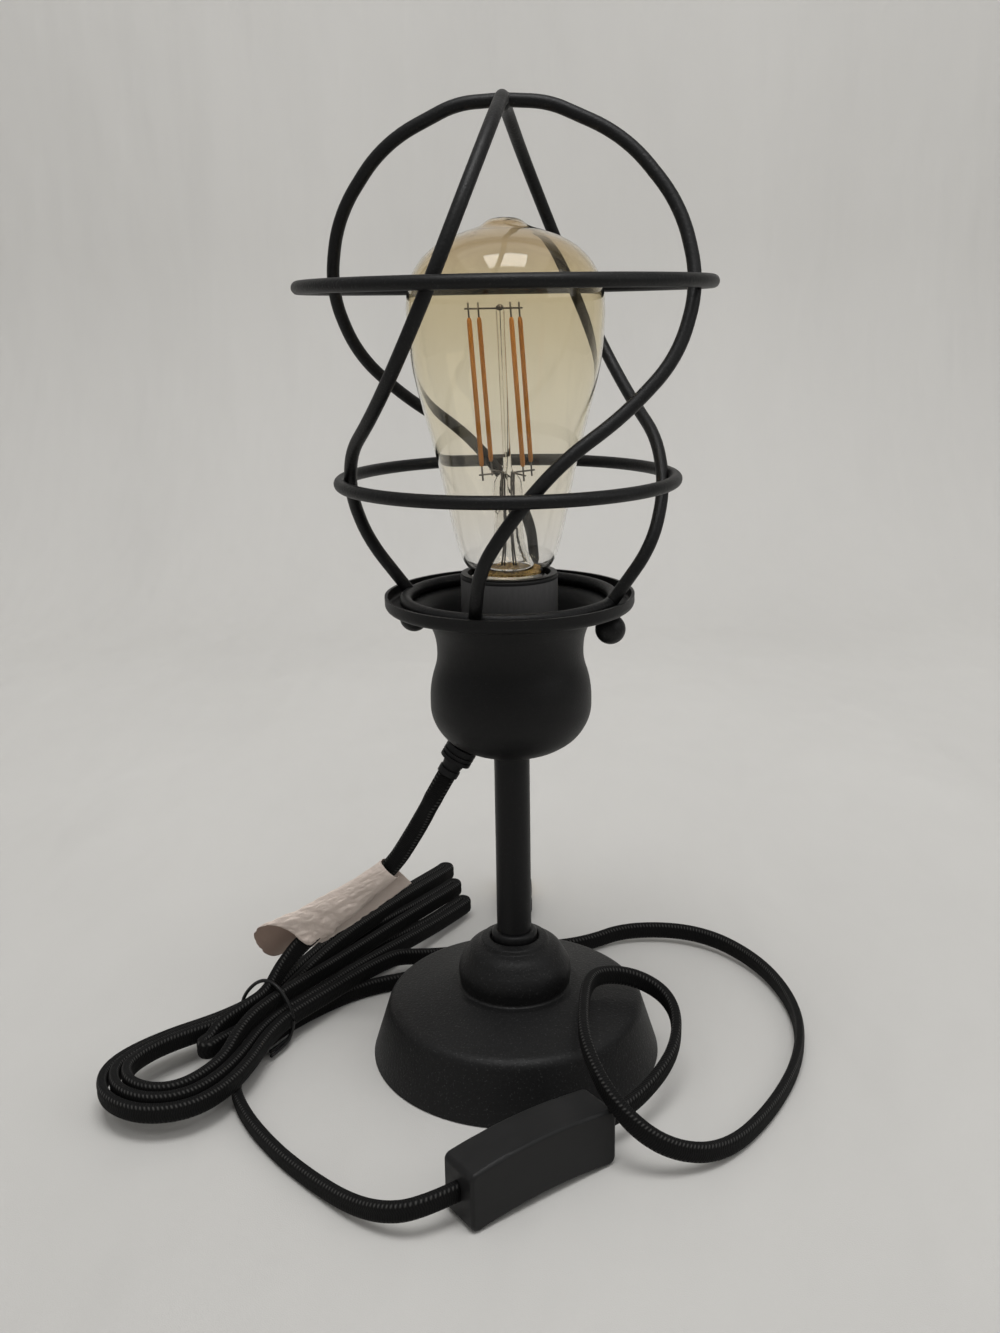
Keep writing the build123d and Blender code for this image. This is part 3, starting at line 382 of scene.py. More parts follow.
# Cord: two flat conductors side by side in a black textile braid, lying on edge.
# It leaves the gland, hangs to the tied hank, runs round the base to the switch and on to the plug.
cord_tall, cord_thick = 0.0068, 0.0039
lead_route = [
    (-0.0232, 0.0000, 0.1098), (-0.0282, 0.0000, 0.1011), (-0.0320, 0.0040, 0.0926),
    (-0.0377, 0.0074, 0.0818), (-0.0452, 0.0112, 0.0690), (-0.0628, 0.0165, 0.0506),
    (-0.0818, 0.0200, 0.0344), (-0.0906, 0.0156, 0.0246), (-0.0954, 0.0070, 0.0178),
    (-0.1014, -0.0014, 0.0174),
]
hank_route = [
    (-0.1095, -0.0111, 0.0156), (-0.1121, -0.0160, 0.0128), (-0.1135, -0.0182, 0.0128),
    (-0.1144, -0.0197, 0.0128), (-0.1140, -0.0214, 0.0128), (-0.1125, -0.0223, 0.0128),
    (-0.1109, -0.0219, 0.0128), (-0.1100, -0.0204, 0.0128), (-0.1086, -0.0181, 0.0128),
    (-0.1038, -0.0099, 0.0116), (-0.0977, 0.0016, 0.0104), (-0.0755, 0.0431, 0.0184),
    (-0.0520, 0.0874, 0.0162), (-0.0317, 0.1224, 0.0138), (-0.0305, 0.1248, 0.0138),
    (-0.0297, 0.1263, 0.0138), (-0.0302, 0.1280, 0.0138), (-0.0316, 0.1288, 0.0138),
    (-0.0332, 0.1284, 0.0138), (-0.0340, 0.1269, 0.0138), (-0.0352, 0.1246, 0.0138),
    (-0.0555, 0.0895, 0.0162), (-0.0790, 0.0452, 0.0184), (-0.1011, 0.0037, 0.0104),
    (-0.1271, -0.0168, 0.0129), (-0.1378, -0.0328, 0.0136), (-0.1351, -0.0441, 0.0139),
    (-0.1252, -0.0502, 0.0139), (-0.1140, -0.0475, 0.0136), (-0.1044, -0.0307, 0.0127),
    (-0.1012, -0.0163, 0.0166), (-0.0950, -0.0001, 0.0174), (-0.0720, 0.0409, 0.0130),
    (-0.0455, 0.0834, 0.0120), (-0.0279, 0.1112, 0.0106), (-0.0266, 0.1136, 0.0106),
    (-0.0258, 0.1151, 0.0106), (-0.0263, 0.1168, 0.0106), (-0.0277, 0.1177, 0.0106),
    (-0.0293, 0.1172, 0.0106), (-0.0301, 0.1157, 0.0106), (-0.0313, 0.1134, 0.0106),
    (-0.0488, 0.0853, 0.0120), (-0.0823, 0.0473, 0.0123), (-0.1046, 0.0058, 0.0102),
    (-0.1307, -0.0146, 0.0115), (-0.1424, -0.0321, 0.0125), (-0.1388, -0.0468, 0.0129),
    (-0.1260, -0.0547, 0.0129), (-0.1113, -0.0512, 0.0125), (-0.1008, -0.0329, 0.0113),
    (-0.0943, -0.0005, 0.0106), (-0.0793, 0.0196, 0.0098), (-0.0641, 0.0431, 0.0094),
    (-0.0383, 0.0789, 0.0072), (-0.0233, 0.1026, 0.0062), (-0.0221, 0.1049, 0.0062),
    (-0.0213, 0.1064, 0.0062), (-0.0217, 0.1081, 0.0062), (-0.0232, 0.1090, 0.0062),
    (-0.0247, 0.1086, 0.0062), (-0.0255, 0.1071, 0.0062), (-0.0268, 0.1047, 0.0062),
    (-0.0422, 0.0813, 0.0062), (-0.0693, 0.0581, 0.0050), (-0.0931, 0.0351, 0.0068),
    (-0.1080, 0.0079, 0.0088), (-0.1344, -0.0123, 0.0099), (-0.1469, -0.0314, 0.0107),
    (-0.1426, -0.0495, 0.0113), (-0.1267, -0.0593, 0.0113), (-0.1085, -0.0549, 0.0107),
    (-0.0971, -0.0351, 0.0099), (-0.0909, -0.0026, 0.0104), (-0.0739, 0.0210, 0.0099),
]
switch_feed_route = [
    (-0.0625, 0.0375, 0.0095), (-0.0541, 0.0487, 0.0086), (-0.0486, 0.0548, 0.0079),
    (-0.0380, 0.0585, 0.0058), (-0.0250, 0.0632, 0.0040), (-0.0120, 0.0680, 0.0036),
    (0.0080, 0.0672, 0.0036), (0.0300, 0.0704, 0.0040), (0.0505, 0.0822, 0.0054),
    (0.0820, 0.0772, 0.0058), (0.1028, 0.0510, 0.0048), (0.1104, 0.0160, 0.0039),
    (0.1046, -0.0170, 0.0035), (0.0875, -0.0495, 0.0035), (0.0670, -0.0740, 0.0044),
    (0.0465, -0.0805, 0.0112), (0.0306, -0.0758, 0.0242), (0.0226, -0.0550, 0.0330),
    (0.0234, -0.0340, 0.0344), (0.0266, -0.0120, 0.0334), (0.0348, -0.0043, 0.0316),
    (0.0458, -0.0035, 0.0290), (0.0549, -0.0097, 0.0260), (0.0583, -0.0202, 0.0228),
    (0.0559, -0.0340, 0.0186), (0.0485, -0.0464, 0.0148), (0.0361, -0.0596, 0.0114),
    (0.0276, -0.0657, 0.0114),
]
plug_feed_route = [
    (-0.0186, -0.0993, 0.0114), (-0.0271, -0.1054, 0.0114), (-0.0377, -0.1060, 0.0088),
    (-0.0502, -0.0985, 0.0055), (-0.0645, -0.0848, 0.0036), (-0.0800, -0.0685, 0.0035),
    (-0.0940, -0.0485, 0.0035), (-0.1022, -0.0285, 0.0035), (-0.0990, -0.0090, 0.0035),
    (-0.0895, 0.0090, 0.0035), (-0.0780, 0.0224, 0.0035), (-0.0670, 0.0326, 0.0035),
    (-0.0560, 0.0392, 0.0035), (-0.0455, 0.0428, 0.0035), (-0.0370, 0.0470, 0.0035),
    (-0.0286, 0.0519, 0.0038), (-0.0204, 0.0576, 0.0050), (-0.0124, 0.0642, 0.0076),
    (-0.0056, 0.0710, 0.0099), (-0.0006, 0.0784, 0.0092), (0.0010, 0.0860, 0.0060),
    (0.0010, 0.0940, 0.0060),
]


def smooth_line(route, steps=10):
    """The points of the route's own smooth spline."""
    curve = bpy.data.curves.new("route", "CURVE")
    curve.dimensions = "3D"
    curve.resolution_u = steps
    spline = curve.splines.new("NURBS")
    spline.points.add(len(route) - 1)
    for point, place in zip(spline.points, route):
        point.co = (*place, 1)
    spline.order_u = 3
    spline.use_endpoint_u = True
    carrier = bpy.data.objects.new("route", curve)
    line = bpy.data.meshes.new_from_object(carrier)
    points = [v.co.copy() for v in line.vertices]
    bpy.data.objects.remove(carrier)
    bpy.data.curves.remove(curve)
    bpy.data.meshes.remove(line)
    return points


def run_along(shape, line, section, uv=None, swell=None):
    """Adds a skin that carries the section, given as side and rise, along the line.

    swell gives the share of the section's size at each point of the line. The section
    keeps level, and where the line stands nearly upright it keeps the side it had.
    """
    nearly_upright, mm = 0.1, 1000
    count = len(section)
    rings, gone = [], [0.0]
    side = None
    for i, at in enumerate(line):
        way = (line[min(i + 1, len(line) - 1)] - line[max(i - 1, 0)]).normalized()
        flat = way.cross(Vector((0, 0, 1)))
        if side is None or flat.length > nearly_upright:
            side = flat.normalized()
        else:
            side = (side - way * side.dot(way)).normalized()
        rise = side.cross(way)
        share = swell[i] if swell else 1
        rings.append([shape.verts.new(at + (side * s + rise * r) * share) for s, r in section])
        if i + 1 < len(line):
            gone.append(gone[-1] + (line[i + 1] - at).length)
    girth = [0.0]
    for a, b in zip(section, section[1:] + section[:1]):
        girth.append(girth[-1] + ((a[0] - b[0]) ** 2 + (a[1] - b[1]) ** 2) ** 0.5)
    for j, (low, high) in enumerate(zip(rings, rings[1:])):
        for i in range(count):
            face = shape.faces.new((low[i], low[(i + 1) % count], high[(i + 1) % count], high[i]))
            face.smooth = True
            if uv:
                spots = ((i, j), (i + 1, j), (i + 1, j + 1), (i, j + 1))
                for loop, (g, k) in zip(face.loops, spots):
                    loop[uv].uv = (girth[g] * mm, gone[k] * mm)
    shape.faces.new(list(reversed(rings[0])))
    shape.faces.new(rings[-1])


def squared(share, half, power):
    """A share of a round outline's half width, pushed out towards the corner."""
    return abs(share) ** power * (half if share > 0 else -half)


def flat_section(thick, tall, count=28):
    """A flat pair's outline: round edges and a shallow dip along the middle of each face."""
    face_power, edge_power, dip_deep, dip_wide = 0.55, 0.85, 0.1, 0.3
    outline = []
    for i in range(count):
        turn = 2 * pi * i / count
        s, r = squared(cos(turn), 1, face_power), squared(sin(turn), 1, edge_power)
        dip = 1 - dip_deep * exp(-((r / dip_wide) ** 2))
        outline.append((s * dip * thick / 2, r * tall / 2))
    return outline


def round_section(radius, count):
    return [(radius * cos(2 * pi * i / count), radius * sin(2 * pi * i / count)) for i in range(count)]


def braided(name, route):
    line = smooth_line(route)
    shape = bmesh.new()
    run_along(shape, line, flat_section(cord_thick, cord_tall), shape.loops.layers.uv.new("braid"))
    piece = new_piece(name, shape)
    long = sum((b - a).length for a, b in zip(line, line[1:]))
    return piece, line, long


braid = Finish("cord_braid", Specular_IOR_Level=0.14)
braid_uv = braid.node("ShaderNodeUVMap", {"uv_map": "braid"}, {})
round_mm, along_mm = braid.axis(braid_uv, "X"), braid.axis(braid_uv, "Y")
cord_girth_mm, dash_mm, rib_mm = 18.2, 1.4, 0.8
edge_share = round_mm.math("PINGPONG", round_mm, cord_girth_mm / 4) / (cord_girth_mm / 4)
seam = edge_share.between(0.46, 0.58) - edge_share.between(0.70, 0.82)
dash_turn = (along_mm / dash_mm + edge_share * 0.9) * (2 * pi)
dash = dash_turn.math("SINE", dash_turn) * 0.5 + 0.5
rib_turn = (along_mm / rib_mm - edge_share * 1.5) * (2 * pi)
rib = rib_turn.math("SINE", rib_turn) * 0.5 + 0.5
lint = braid.cloud(braid.place(), 1400, 3)
stitches = seam * dash**2 * (lint * 0.9 + 0.4) + rib * 0.07
braid.feed(
    Base_Color=braid.mixed(stitches, (0.0022, 0.0022, 0.0023, 1), (0.066, 0.065, 0.063, 1)),
    Roughness=0.6 + lint * 0.3,
    Normal=braid.bumped(seam * dash + rib * 0.45, 0.7, 0.0003),
)
long_cord, long_line, long_size = braided("cord_to_switch", lead_route + hank_route + switch_feed_route)
fit(long_cord, "lamp", "cord_braid", braid, "cord_lead", "cord_hank", "cord_switch_feed")
short_cord, short_line, short_size = braided("cord_to_plug", plug_feed_route)
fit(short_cord, "lamp", "cord_braid", braid, "cord_plug_feed")


# Hank tie: a black coated steel wire wound once round the folded cord and twisted shut underneath.
# Its two short ends stick out along the table.
tie_route = [
    (-0.0924, -0.0075, 0.0024), (-0.0878, -0.0010, 0.0028), (-0.0858, 0.0025, 0.0034),
    (-0.0840, 0.0016, 0.0120), (-0.0902, 0.0057, 0.0232), (-0.0985, 0.0110, 0.0230),
    (-0.1075, 0.0167, 0.0110), (-0.1062, 0.0161, 0.0036), (-0.1019, 0.0138, 0.0034),
    (-0.0941, 0.0095, 0.0074), (-0.0886, 0.0066, 0.0074), (-0.0860, 0.0052, 0.0034),
    (-0.0866, -0.0029, 0.0028), (-0.0915, -0.0104, 0.0024),
]
tie_r, tie_around = 0.0007, 10
shape = bmesh.new()
run_along(shape, smooth_line(tie_route), round_section(tie_r, tie_around))
tie_coat = moulded("tie_coat", (0.010, 0.010, 0.010), rough=0.3, grain_size=0.0004, grain_deep=0.00002)
tie = fit(new_piece("tie_wire", shape), "lamp", "tie_plastic", tie_coat, "hank_tie")


# Paper tag: a blank cream slip, its inner face painted browner partly for red print and partly as painted
# shade, wrapped round the cord and gripped tight at its upper end.
# It widens towards the hank to an open mouth cut short in front, and its back edge hangs loose as a flap.
tag_bend = ((-0.0462, 0.0114, 0.0680), (-0.0628, 0.0163, 0.0508), (-0.0815, 0.0196, 0.0355))
tag_cord = [Vector(place) for place in tag_bend]
tag_upper_rim = [
    (0.0075, 0.0026, -0.0074), (0.0048, 0.0029, -0.0044), (0.0021, 0.0029, -0.0016),
    (0.0000, 0.0030, 0.0008), (-0.0014, 0.0028, 0.0022), (-0.0025, 0.0018, 0.0031),
    (-0.0031, 0.0000, 0.0034), (-0.0031, -0.0016, 0.0029), (-0.0023, -0.0025, 0.0019),
    (-0.0013, -0.0029, 0.0007), (-0.0004, -0.0030, -0.0003), (0.0012, -0.0028, -0.0019),
    (0.0028, -0.0014, -0.0033), (0.0030, 0.0009, -0.0030),
]
tag_mouth_rim = [
    (0.0057, 0.0049, -0.0049), (0.0030, 0.0052, -0.0037), (-0.0046, 0.0056, -0.0055),
    (-0.0099, 0.0069, -0.0106), (-0.0146, 0.0074, -0.0121), (-0.0183, 0.0064, -0.0090),
    (-0.0199, 0.0039, -0.0032), (-0.0191, 0.0009, 0.0025), (-0.0153, -0.0016, 0.0062),
    (-0.0099, -0.0031, 0.0068), (-0.0055, -0.0034, 0.0050), (-0.0026, -0.0028, 0.0022),
    (0.0011, -0.0030, -0.0019), (0.0030, -0.0008, -0.0035),
]
tag_rims = [smooth_line(tag_upper_rim), smooth_line(tag_mouth_rim)]
tag_rows, tag_columns, tag_paper, tag_flap = 60, len(tag_rims[0]), 0.00009, 1 / 3
tag_wave, tag_crease, tag_cockle, tag_dent, tag_gripped = 0.0009, 0.0011, 0.00022, 0.0004, 0.35


def tag_spot(row, column):
    """A place on the slip: columns run from the flap's free edge round the curl to the tucked edge."""
    along = row / tag_rows
    first, middle, last = tag_cord
    cord = first * (1 - along) ** 2 + middle * 2 * along * (1 - along) + last * along**2
    offset = tag_rims[0][column] * (1 - along) + tag_rims[1][column] * along
    turned = column / tag_columns
    wave = noise.noise(Vector((along * 5, turned * 7, 2))) * tag_wave
    crease = abs(noise.noise(Vector((along * 11, turned * 13, 5)))) * tag_crease
    cockle = noise.noise(Vector((along * 31, turned * 37, 9))) * tag_cockle
    fold = max(wave + crease + cockle, -tag_dent)
    return cord + offset + offset.normalized() * fold * (tag_gripped + along)


tag_grid = [[tag_spot(i, j) for j in range(tag_columns)] for i in range(tag_rows + 1)]
shape = bmesh.new()
tag_side = shape.loops.layers.uv.new("side")
skins = [[], []]
for i, row in enumerate(tag_grid):
    for skin, layer in zip(skins, (-tag_paper, tag_paper)):
        skin.append([])
        for j, spot in enumerate(row):
            down = tag_grid[min(i + 1, tag_rows)][j] - tag_grid[max(i - 1, 0)][j]
            sideways = row[min(j + 1, tag_columns - 1)] - row[max(j - 1, 0)]
            skin[-1].append(shape.verts.new(spot + down.cross(sideways).normalized() * layer))
for i in range(tag_rows):
    for j in range(tag_columns - 1):
        # The inner skin takes the browner colour, part print and part painted shade, growing from the flap's
        # free edge.
        for skin, inside in zip(skins, (min(1, j / tag_columns / tag_flap), 0)):
            face = shape.faces.new((skin[i][j], skin[i][j + 1], skin[i + 1][j + 1], skin[i + 1][j]))
            face.smooth = True
            for loop in face.loops:
                loop[tag_side].uv = (inside, 0)
rims = [[skin[0] for skin in skins], [skin[-1] for skin in skins]]
rims += [[[row[end] for row in skin] for skin in skins] for end in (0, -1)]
for inner, outer in rims:
    for corners in zip(inner, inner[1:], outer[1:], outer):
        shape.faces.new(corners)
slip = Finish("tag_slip", Roughness=0.75, Specular_IOR_Level=0.25)
slip_place = slip.place()
slip_folds = slip.cloud(slip.stretched(slip_place, (1, 1, 1.6)), 210, 3, 0.6)
slip_fibre = slip.cloud(slip_place, 2400, 3)
# The browner inner face is partly red print and partly painted shade.
slip_inside_print_and_shade = slip.axis(slip.node("ShaderNodeUVMap", {"uv_map": "side"}, {}), "X")
slip_cream = slip.mixed(slip_folds * 0.7 + slip_fibre * 0.3, (0.66, 0.545, 0.48, 1), (0.86, 0.76, 0.685, 1))
slip.feed(
    Base_Color=slip.mixed(slip_inside_print_and_shade, slip_cream, (0.46, 0.335, 0.275, 1)),
    Normal=slip.bumped(slip_folds + slip_fibre * 0.12, 0.5, 0.0012),
)
tag = fit(new_piece("tag_slip", shape), "lamp", "tag_paper", slip, "paper_tag")


# Hand switch and plug: black mouldings on the cord.
# The switch is two halves, streaked lighter and darker along their length, screwed together round a rocker and
# brass contacts.
# The plug is soft vinyl moulded round two brass blades, with a ribbed neck and grooved sides to grip.
brass = zinc_plate("bright_brass", (0.78, 0.6, 0.3))
streaked = Finish("switch_moulding", Specular_IOR_Level=0.26)
streak_place, switch_turn = streaked.place(), radians(-36)
streak_turned = streaked.node(
    "ShaderNodeVectorRotate", {"rotation_type": "Z_AXIS"}, {"Vector": streak_place, "Angle": switch_turn}
)
streaks = streaked.cloud(streaked.stretched(streak_turned, (0.12, 1, 1)), 420, 4, 0.65)
streak_grain = streaked.cloud(streak_place, 2200, 2, 0.6)
streak_rub = streaked.cloud(streak_place, 75, 4, 0.6)
streak_tone = streaks * 0.6 + streak_rub * 0.4
streaked.feed(
    Base_Color=streaked.mixed(streak_tone, (0.0018, 0.0018, 0.0020, 1), (0.0170, 0.0170, 0.0173, 1)),
    Roughness=0.30 + streaks * 0.26 + streak_rub * 0.12,
    Normal=streaked.bumped(streaks * 0.6 + streak_grain * 0.4, 0.35, 0.00012),
)
dress(streaked, "switch_front", "switch_back")
rocker_tone = (0.005, 0.005, 0.0055)
slick = moulded("rocker_moulding", rocker_tone, rough=0.25, grain_size=0.0006, grain_deep=0.00002)
dress(slick, "switch_rocker")
dress(bright_zinc, "switch_screws", "rocker_pin")
plug_mid, plug_around = Vector((0.001, 0, 0.006)), 40
neck_ribs, neck_y, neck_step = 5, 0.0946, 0.0018
neck_r, neck_swell, neck_groove, neck_power = 0.0038, 0.0002, 0.0006, 0.9
grip_grooves, grip_y, grip_step = 5, 0.1080, 0.0022
grip_wide, grip_deep, grip_tall, grip_power = 0.0074, 0.0006, 0.0057, 0.45
plug_rows = [(0.0940, 0.0030, 0.0036, 1)]
for i in range(neck_ribs):
    rib_r = neck_r + neck_swell * i
    for run, deep in ((0, 0), (0.0010, 0), (0.0012, neck_groove), (0.0016, neck_groove)):
        plug_rows.append((neck_y + neck_step * i + run, rib_r - deep, rib_r - deep, neck_power))
plug_rows += [(0.1034, 0.0056, 0.0046, 0.6), (0.1042, 0.0066, 0.0052, 0.5), (0.1060, 0.0075, 0.0057, 0.45)]
for i in range(grip_grooves):
    for run, deep in ((0, 0), (0.0004, grip_deep), (0.0010, grip_deep), (0.0014, 0)):
        plug_rows.append((grip_y + grip_step * i + run, grip_wide - deep, grip_tall, grip_power))
plug_rows += [(0.1220, 0.0077, 0.0058, 0.4), (0.1252, 0.0077, 0.0058, 0.4), (0.1260, 0.0070, 0.0051, 0.4)]
shape = bmesh.new()
rings = []
for y, wide, tall, power in plug_rows:
    ring = []
    for i in range(plug_around):
        turn = 2 * pi * i / plug_around
        spot = Vector((squared(cos(turn), wide, power), y, squared(sin(turn), tall, power)))
        ring.append(shape.verts.new(plug_mid + spot))
    rings.append(ring)
skin_over(shape, rings)
vinyl = moulded("plug_vinyl", (0.007, 0.007, 0.0072), rough=0.5, grain_size=0.0005, grain_deep=0.00005)
plug = fit(new_piece("plug_grip", shape), "lamp", "plug_vinyl", vinyl, "plug_body")
dress(brass, "switch_contacts", "plug_blades")


# Lampholder: a dark phenolic body on a zinc cap, in a plain grey insulating sleeve with a black turned-in rim.
# A thin brass shell, rolled to the bulb's own thread, sits inside it over a brass centre contact.
sleeve = Finish("sleeve_card", Roughness=0.55, Specular_IOR_Level=0.3)
sleeve_place = sleeve.place()
sleeve_low, sleeve_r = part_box("socket_sleeve")[0].z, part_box("socket_body")[1].x
sleeve_top, sleeve_card, sleeve_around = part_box("socket_body")[1].z - 0.0006, 0.0003, 72
sleeve_in, sleeve_out, sleeve_lip = sleeve_r + 0.00005, sleeve_r + sleeve_card, sleeve_r + sleeve_card * 1.4
sleeve_rows = [(sleeve_out, sleeve_low), (sleeve_out, sleeve_top - 0.0012), (sleeve_lip, sleeve_top - 0.0009)]
sleeve_rows += [(sleeve_lip, sleeve_top - 0.0002), (sleeve_out, sleeve_top)]
sleeve_rows += [(sleeve_in, sleeve_top), (sleeve_in, sleeve_low)]
sleeve_fibre = sleeve.cloud(sleeve.stretched(sleeve_place, (1, 1, 0.25)), 1300, 3)
sleeve_rim = sleeve.axis(sleeve_place, "Z").between(sleeve_top - 0.0013, sleeve_top - 0.0011)
sleeve_grey = sleeve.mixed(sleeve_fibre, (0.135, 0.134, 0.134, 1), (0.195, 0.193, 0.192, 1))
sleeve.feed(
    Base_Color=sleeve.mixed(sleeve_rim, sleeve_grey, (0.012, 0.012, 0.012, 1)),
    Normal=sleeve.bumped(sleeve_fibre + sleeve_rim * -0.6, 0.4, 0.0001),
)
sleeve_tube = turned_skin("sleeve_tube", sleeve_rows, sleeve_around, plain_spot, ring=True)
fit(sleeve_tube, "lamp", "sleeve_grey", sleeve, "socket_sleeve")
holder_tone = (0.005, 0.0048, 0.0046)
dress(moulded("holder_moulding", holder_tone, rough=0.3, grain_size=0.0008, grain_deep=0.00003), "socket_body")
dress(bright_zinc, "socket_cap")
screw_pitch, screw_deep, screw_low, screw_high = 0.00363, 0.0004, 0.1622, 0.1775
screw_fade, screw_shelf_r, screw_around = 0.001, 0.0124, 64


def screw_spot(r, z, turn):
    """The thread dies away at both ends and leaves the plain collars and the shelf alone."""
    if r <= screw_shelf_r:
        return r, 0
    fade = max(0, min(1, (z - screw_low) / screw_fade, (screw_high - z) / screw_fade))
    return r + screw_deep * fade * cos(2 * pi * z / screw_pitch - turn), 0


def screw_rows(r, low, high, count=48):
    return [(r, low + (high - low) * i / count) for i in range(count + 1)]


shell_rows = screw_rows(0.0134, 0.1590, 0.1808) + screw_rows(0.0130, 0.1808, 0.1595)
shell_rows += [(0.0104, 0.1595), (0.0104, 0.1590)]
shell = turned_skin("shell_thread", shell_rows, screw_around, screw_spot, ring=True)
fit(shell, "lamp", "shell_brass", brass, "screw_shell")
dress(brass, "centre_contact", "terminal_screws")


# Cage: four bent steel wires welded to a foot ring, two hoops and one another at the top.
# All of it is powder coated together. Two studs under the foot ring pass through the tray of the cup,
# and a ball nut on each holds the cage down.
cage_tone = (0.0048, 0.0048, 0.0050)
# The cage carries painted highlight flecks too.
cage_coat = powder_coat("cage_powder", cage_tone, rough=0.42, peel_size=0.0009, peel_deep=0.00026, painted_glint_share=0.14)
cage = ["cage_foot_ring", "cage_lower_hoop", "cage_upper_hoop", "cage_top_weld"]
cage += ["cage_wire_right", "cage_wire_back", "cage_wire_left", "cage_wire_front"]
cage += ["cage_stud_right", "cage_stud_left", "ball_nut_right", "ball_nut_left"]
dress(cage_coat, *cage)


# Bulb: a blown tapered envelope, washed amber from the crown down and drawn off there in a small rounded tip.
# It is sealed into a nickel cap with a rolled thread; a gold flecked disc closes its neck.
glass_wall, glass_around, glass_axis_r = 0.0008, 72, 0.0001
glass_outline = [
    (0.0122, 0.1787), (0.0122, 0.1812), (0.0122, 0.1834), (0.0156, 0.1866), (0.0177, 0.1934),
    (0.0194, 0.2005), (0.0213, 0.2104), (0.0234, 0.2210), (0.0272, 0.2358), (0.0311, 0.2512),
    (0.0321, 0.2620), (0.0325, 0.2712), (0.0312, 0.2793), (0.0268, 0.2862), (0.0205, 0.2911),
    (0.0130, 0.2938), (0.0096, 0.2947), (0.0072, 0.2957), (0.0054, 0.2972), (0.0027, 0.2980),
    (0.0001, 0.2980),
]
outer_glass = smooth_line([(r, 0, z) for r, z in glass_outline], 6)
inner_glass = []
for i, spot in enumerate(outer_glass):
    way = outer_glass[min(i + 1, len(outer_glass) - 1)] - outer_glass[max(i - 1, 0)]
    inward = Vector((-way.z, 0, way.x)).normalized()
    inner_glass.append(spot + inward * glass_wall)
glass_rows = [(spot.x, spot.z) for spot in outer_glass]
glass_rows += [(max(spot.x, glass_axis_r), spot.z) for spot in reversed(inner_glass)]
envelope = turned_skin("glass_envelope", glass_rows, glass_around, plain_spot, ring=True)
amber = Finish("amber_glass", Roughness=0.01, IOR=1.33, Transmission_Weight=1.0)
amber_place = amber.place()
amber_wash = amber.axis(amber_place, "Z") + amber.cloud(amber_place, 60, 2) * 0.006
amber.feed(
    Base_Color=amber.ramped(
        amber_wash.between(0.190, 0.300),
        (0.0, (0.985, 0.98, 0.97)),
        (0.2, (0.99, 0.965, 0.90)),
        (0.5, (0.99, 0.95, 0.83)),
        (0.8, (0.93, 0.86, 0.69)),
        (1.0, (0.81, 0.70, 0.54)),
    )
)
fit(envelope, "bulb", "bulb_amber", amber, "bulb_glass")
cap_rows = screw_rows(0.0126, 0.1608, 0.1778)
cap_rows += [(0.0130, 0.1783), (0.0130, 0.1814), (0.01255, 0.1814), (0.01255, 0.1785)]
cap = turned_skin("cap_thread", cap_rows, screw_around, screw_spot)
nickel = zinc_plate("cap_nickel", (0.72, 0.71, 0.69))
fit(cap, "bulb", "cap_metal", nickel, "bulb_cap")
dress(nickel, "bulb_contact")
isolator_tone = (0.01, 0.01, 0.01)
isolator = moulded("isolator_glass", isolator_tone, rough=0.15, grain_size=0.001, grain_deep=0.00001)
dress(isolator, "bulb_isolator")
gold = Finish("disc_gold", Metallic=0.3, Roughness=0.5)
gold_place = gold.place()
gold_flecks = gold.node("ShaderNodeTexVoronoi", {}, {"Vector": gold_place, "Scale": 1500}, "Color")
gold_fleck = gold.axis(gold_flecks, "X")
gold_stops = (0.0, (0.26, 0.14, 0.03)), (0.5, (0.58, 0.36, 0.09)), (1.0, (0.9, 0.64, 0.24))
gold.feed(
    Base_Color=gold.ramped(gold_fleck, *gold_stops),
    Normal=gold.bumped(gold_fleck, 0.8, 0.0003),
)
dress(gold, "bulb_disc")


# Inside the glass: a flared stem pinched flat round the lead wires, with a thin rod standing on it.
# Four coated filament sticks hang leaning between wires from a bead on the rod and wires out of the pinch.
pinch_low, pinch_high, pinch_fade_low, pinch_fade_high = 0.2060, 0.2166, 0.003, 0.002
pinch_wider, pinch_flatter, stem_around = 0.2, 0.5, 40
stem_top, stem_lean = 0.2702, -0.0018
stem_outline = [
    (0.0086, 0.1844), (0.0085, 0.1856), (0.0073, 0.1880), (0.0060, 0.1910), (0.0052, 0.1945),
    (0.0048, 0.1985), (0.0046, 0.2030), (0.0045, 0.2070), (0.0043, 0.2105), (0.0040, 0.2135),
    (0.0034, 0.2155), (0.0022, 0.2168), (0.0015, 0.2185), (0.0013, 0.2230), (0.0013, 0.2350),
    (0.0013, 0.2480), (0.0013, 0.2610), (0.0014, 0.2690), (0.0010, 0.2702), (0.0001, 0.2703),
]
stem_hollow = [
    (0.0001, 0.2072), (0.0022, 0.2068), (0.0034, 0.2050), (0.0038, 0.2020), (0.0040, 0.1985),
    (0.0044, 0.1945), (0.0052, 0.1910), (0.0065, 0.1880), (0.0077, 0.1856), (0.0079, 0.1844),
]


def stem_spot(r, z, turn):
    """The stem is squeezed flat at the pinch, and the rod above it leans."""
    pinch = max(0, min(1, (z - pinch_low) / pinch_fade_low, (pinch_high - z) / pinch_fade_high))
    lean = stem_lean * max(0, z - pinch_high) / (stem_top - pinch_high)
    return r * (1 + pinch * (pinch_wider * cos(turn) ** 2 - pinch_flatter * sin(turn) ** 2)), lean


stem = turned_skin("glass_stem", stem_outline + stem_hollow, stem_around, stem_spot, ring=True)
clear = Finish("stem_glass", Roughness=0.02, IOR=1.42, Transmission_Weight=1.0)
clear_seeds = clear.cloud(clear.place(), 700, 2)
clear.feed(
    Base_Color=clear.ramped(clear_seeds, (0.3, (0.94, 0.93, 0.90)), (0.7, (0.985, 0.98, 0.97))),
    Normal=clear.bumped(clear_seeds, 0.12, 0.0003),
)
fit(stem, "bulb", "stem_glass", clear, "bulb_stem")

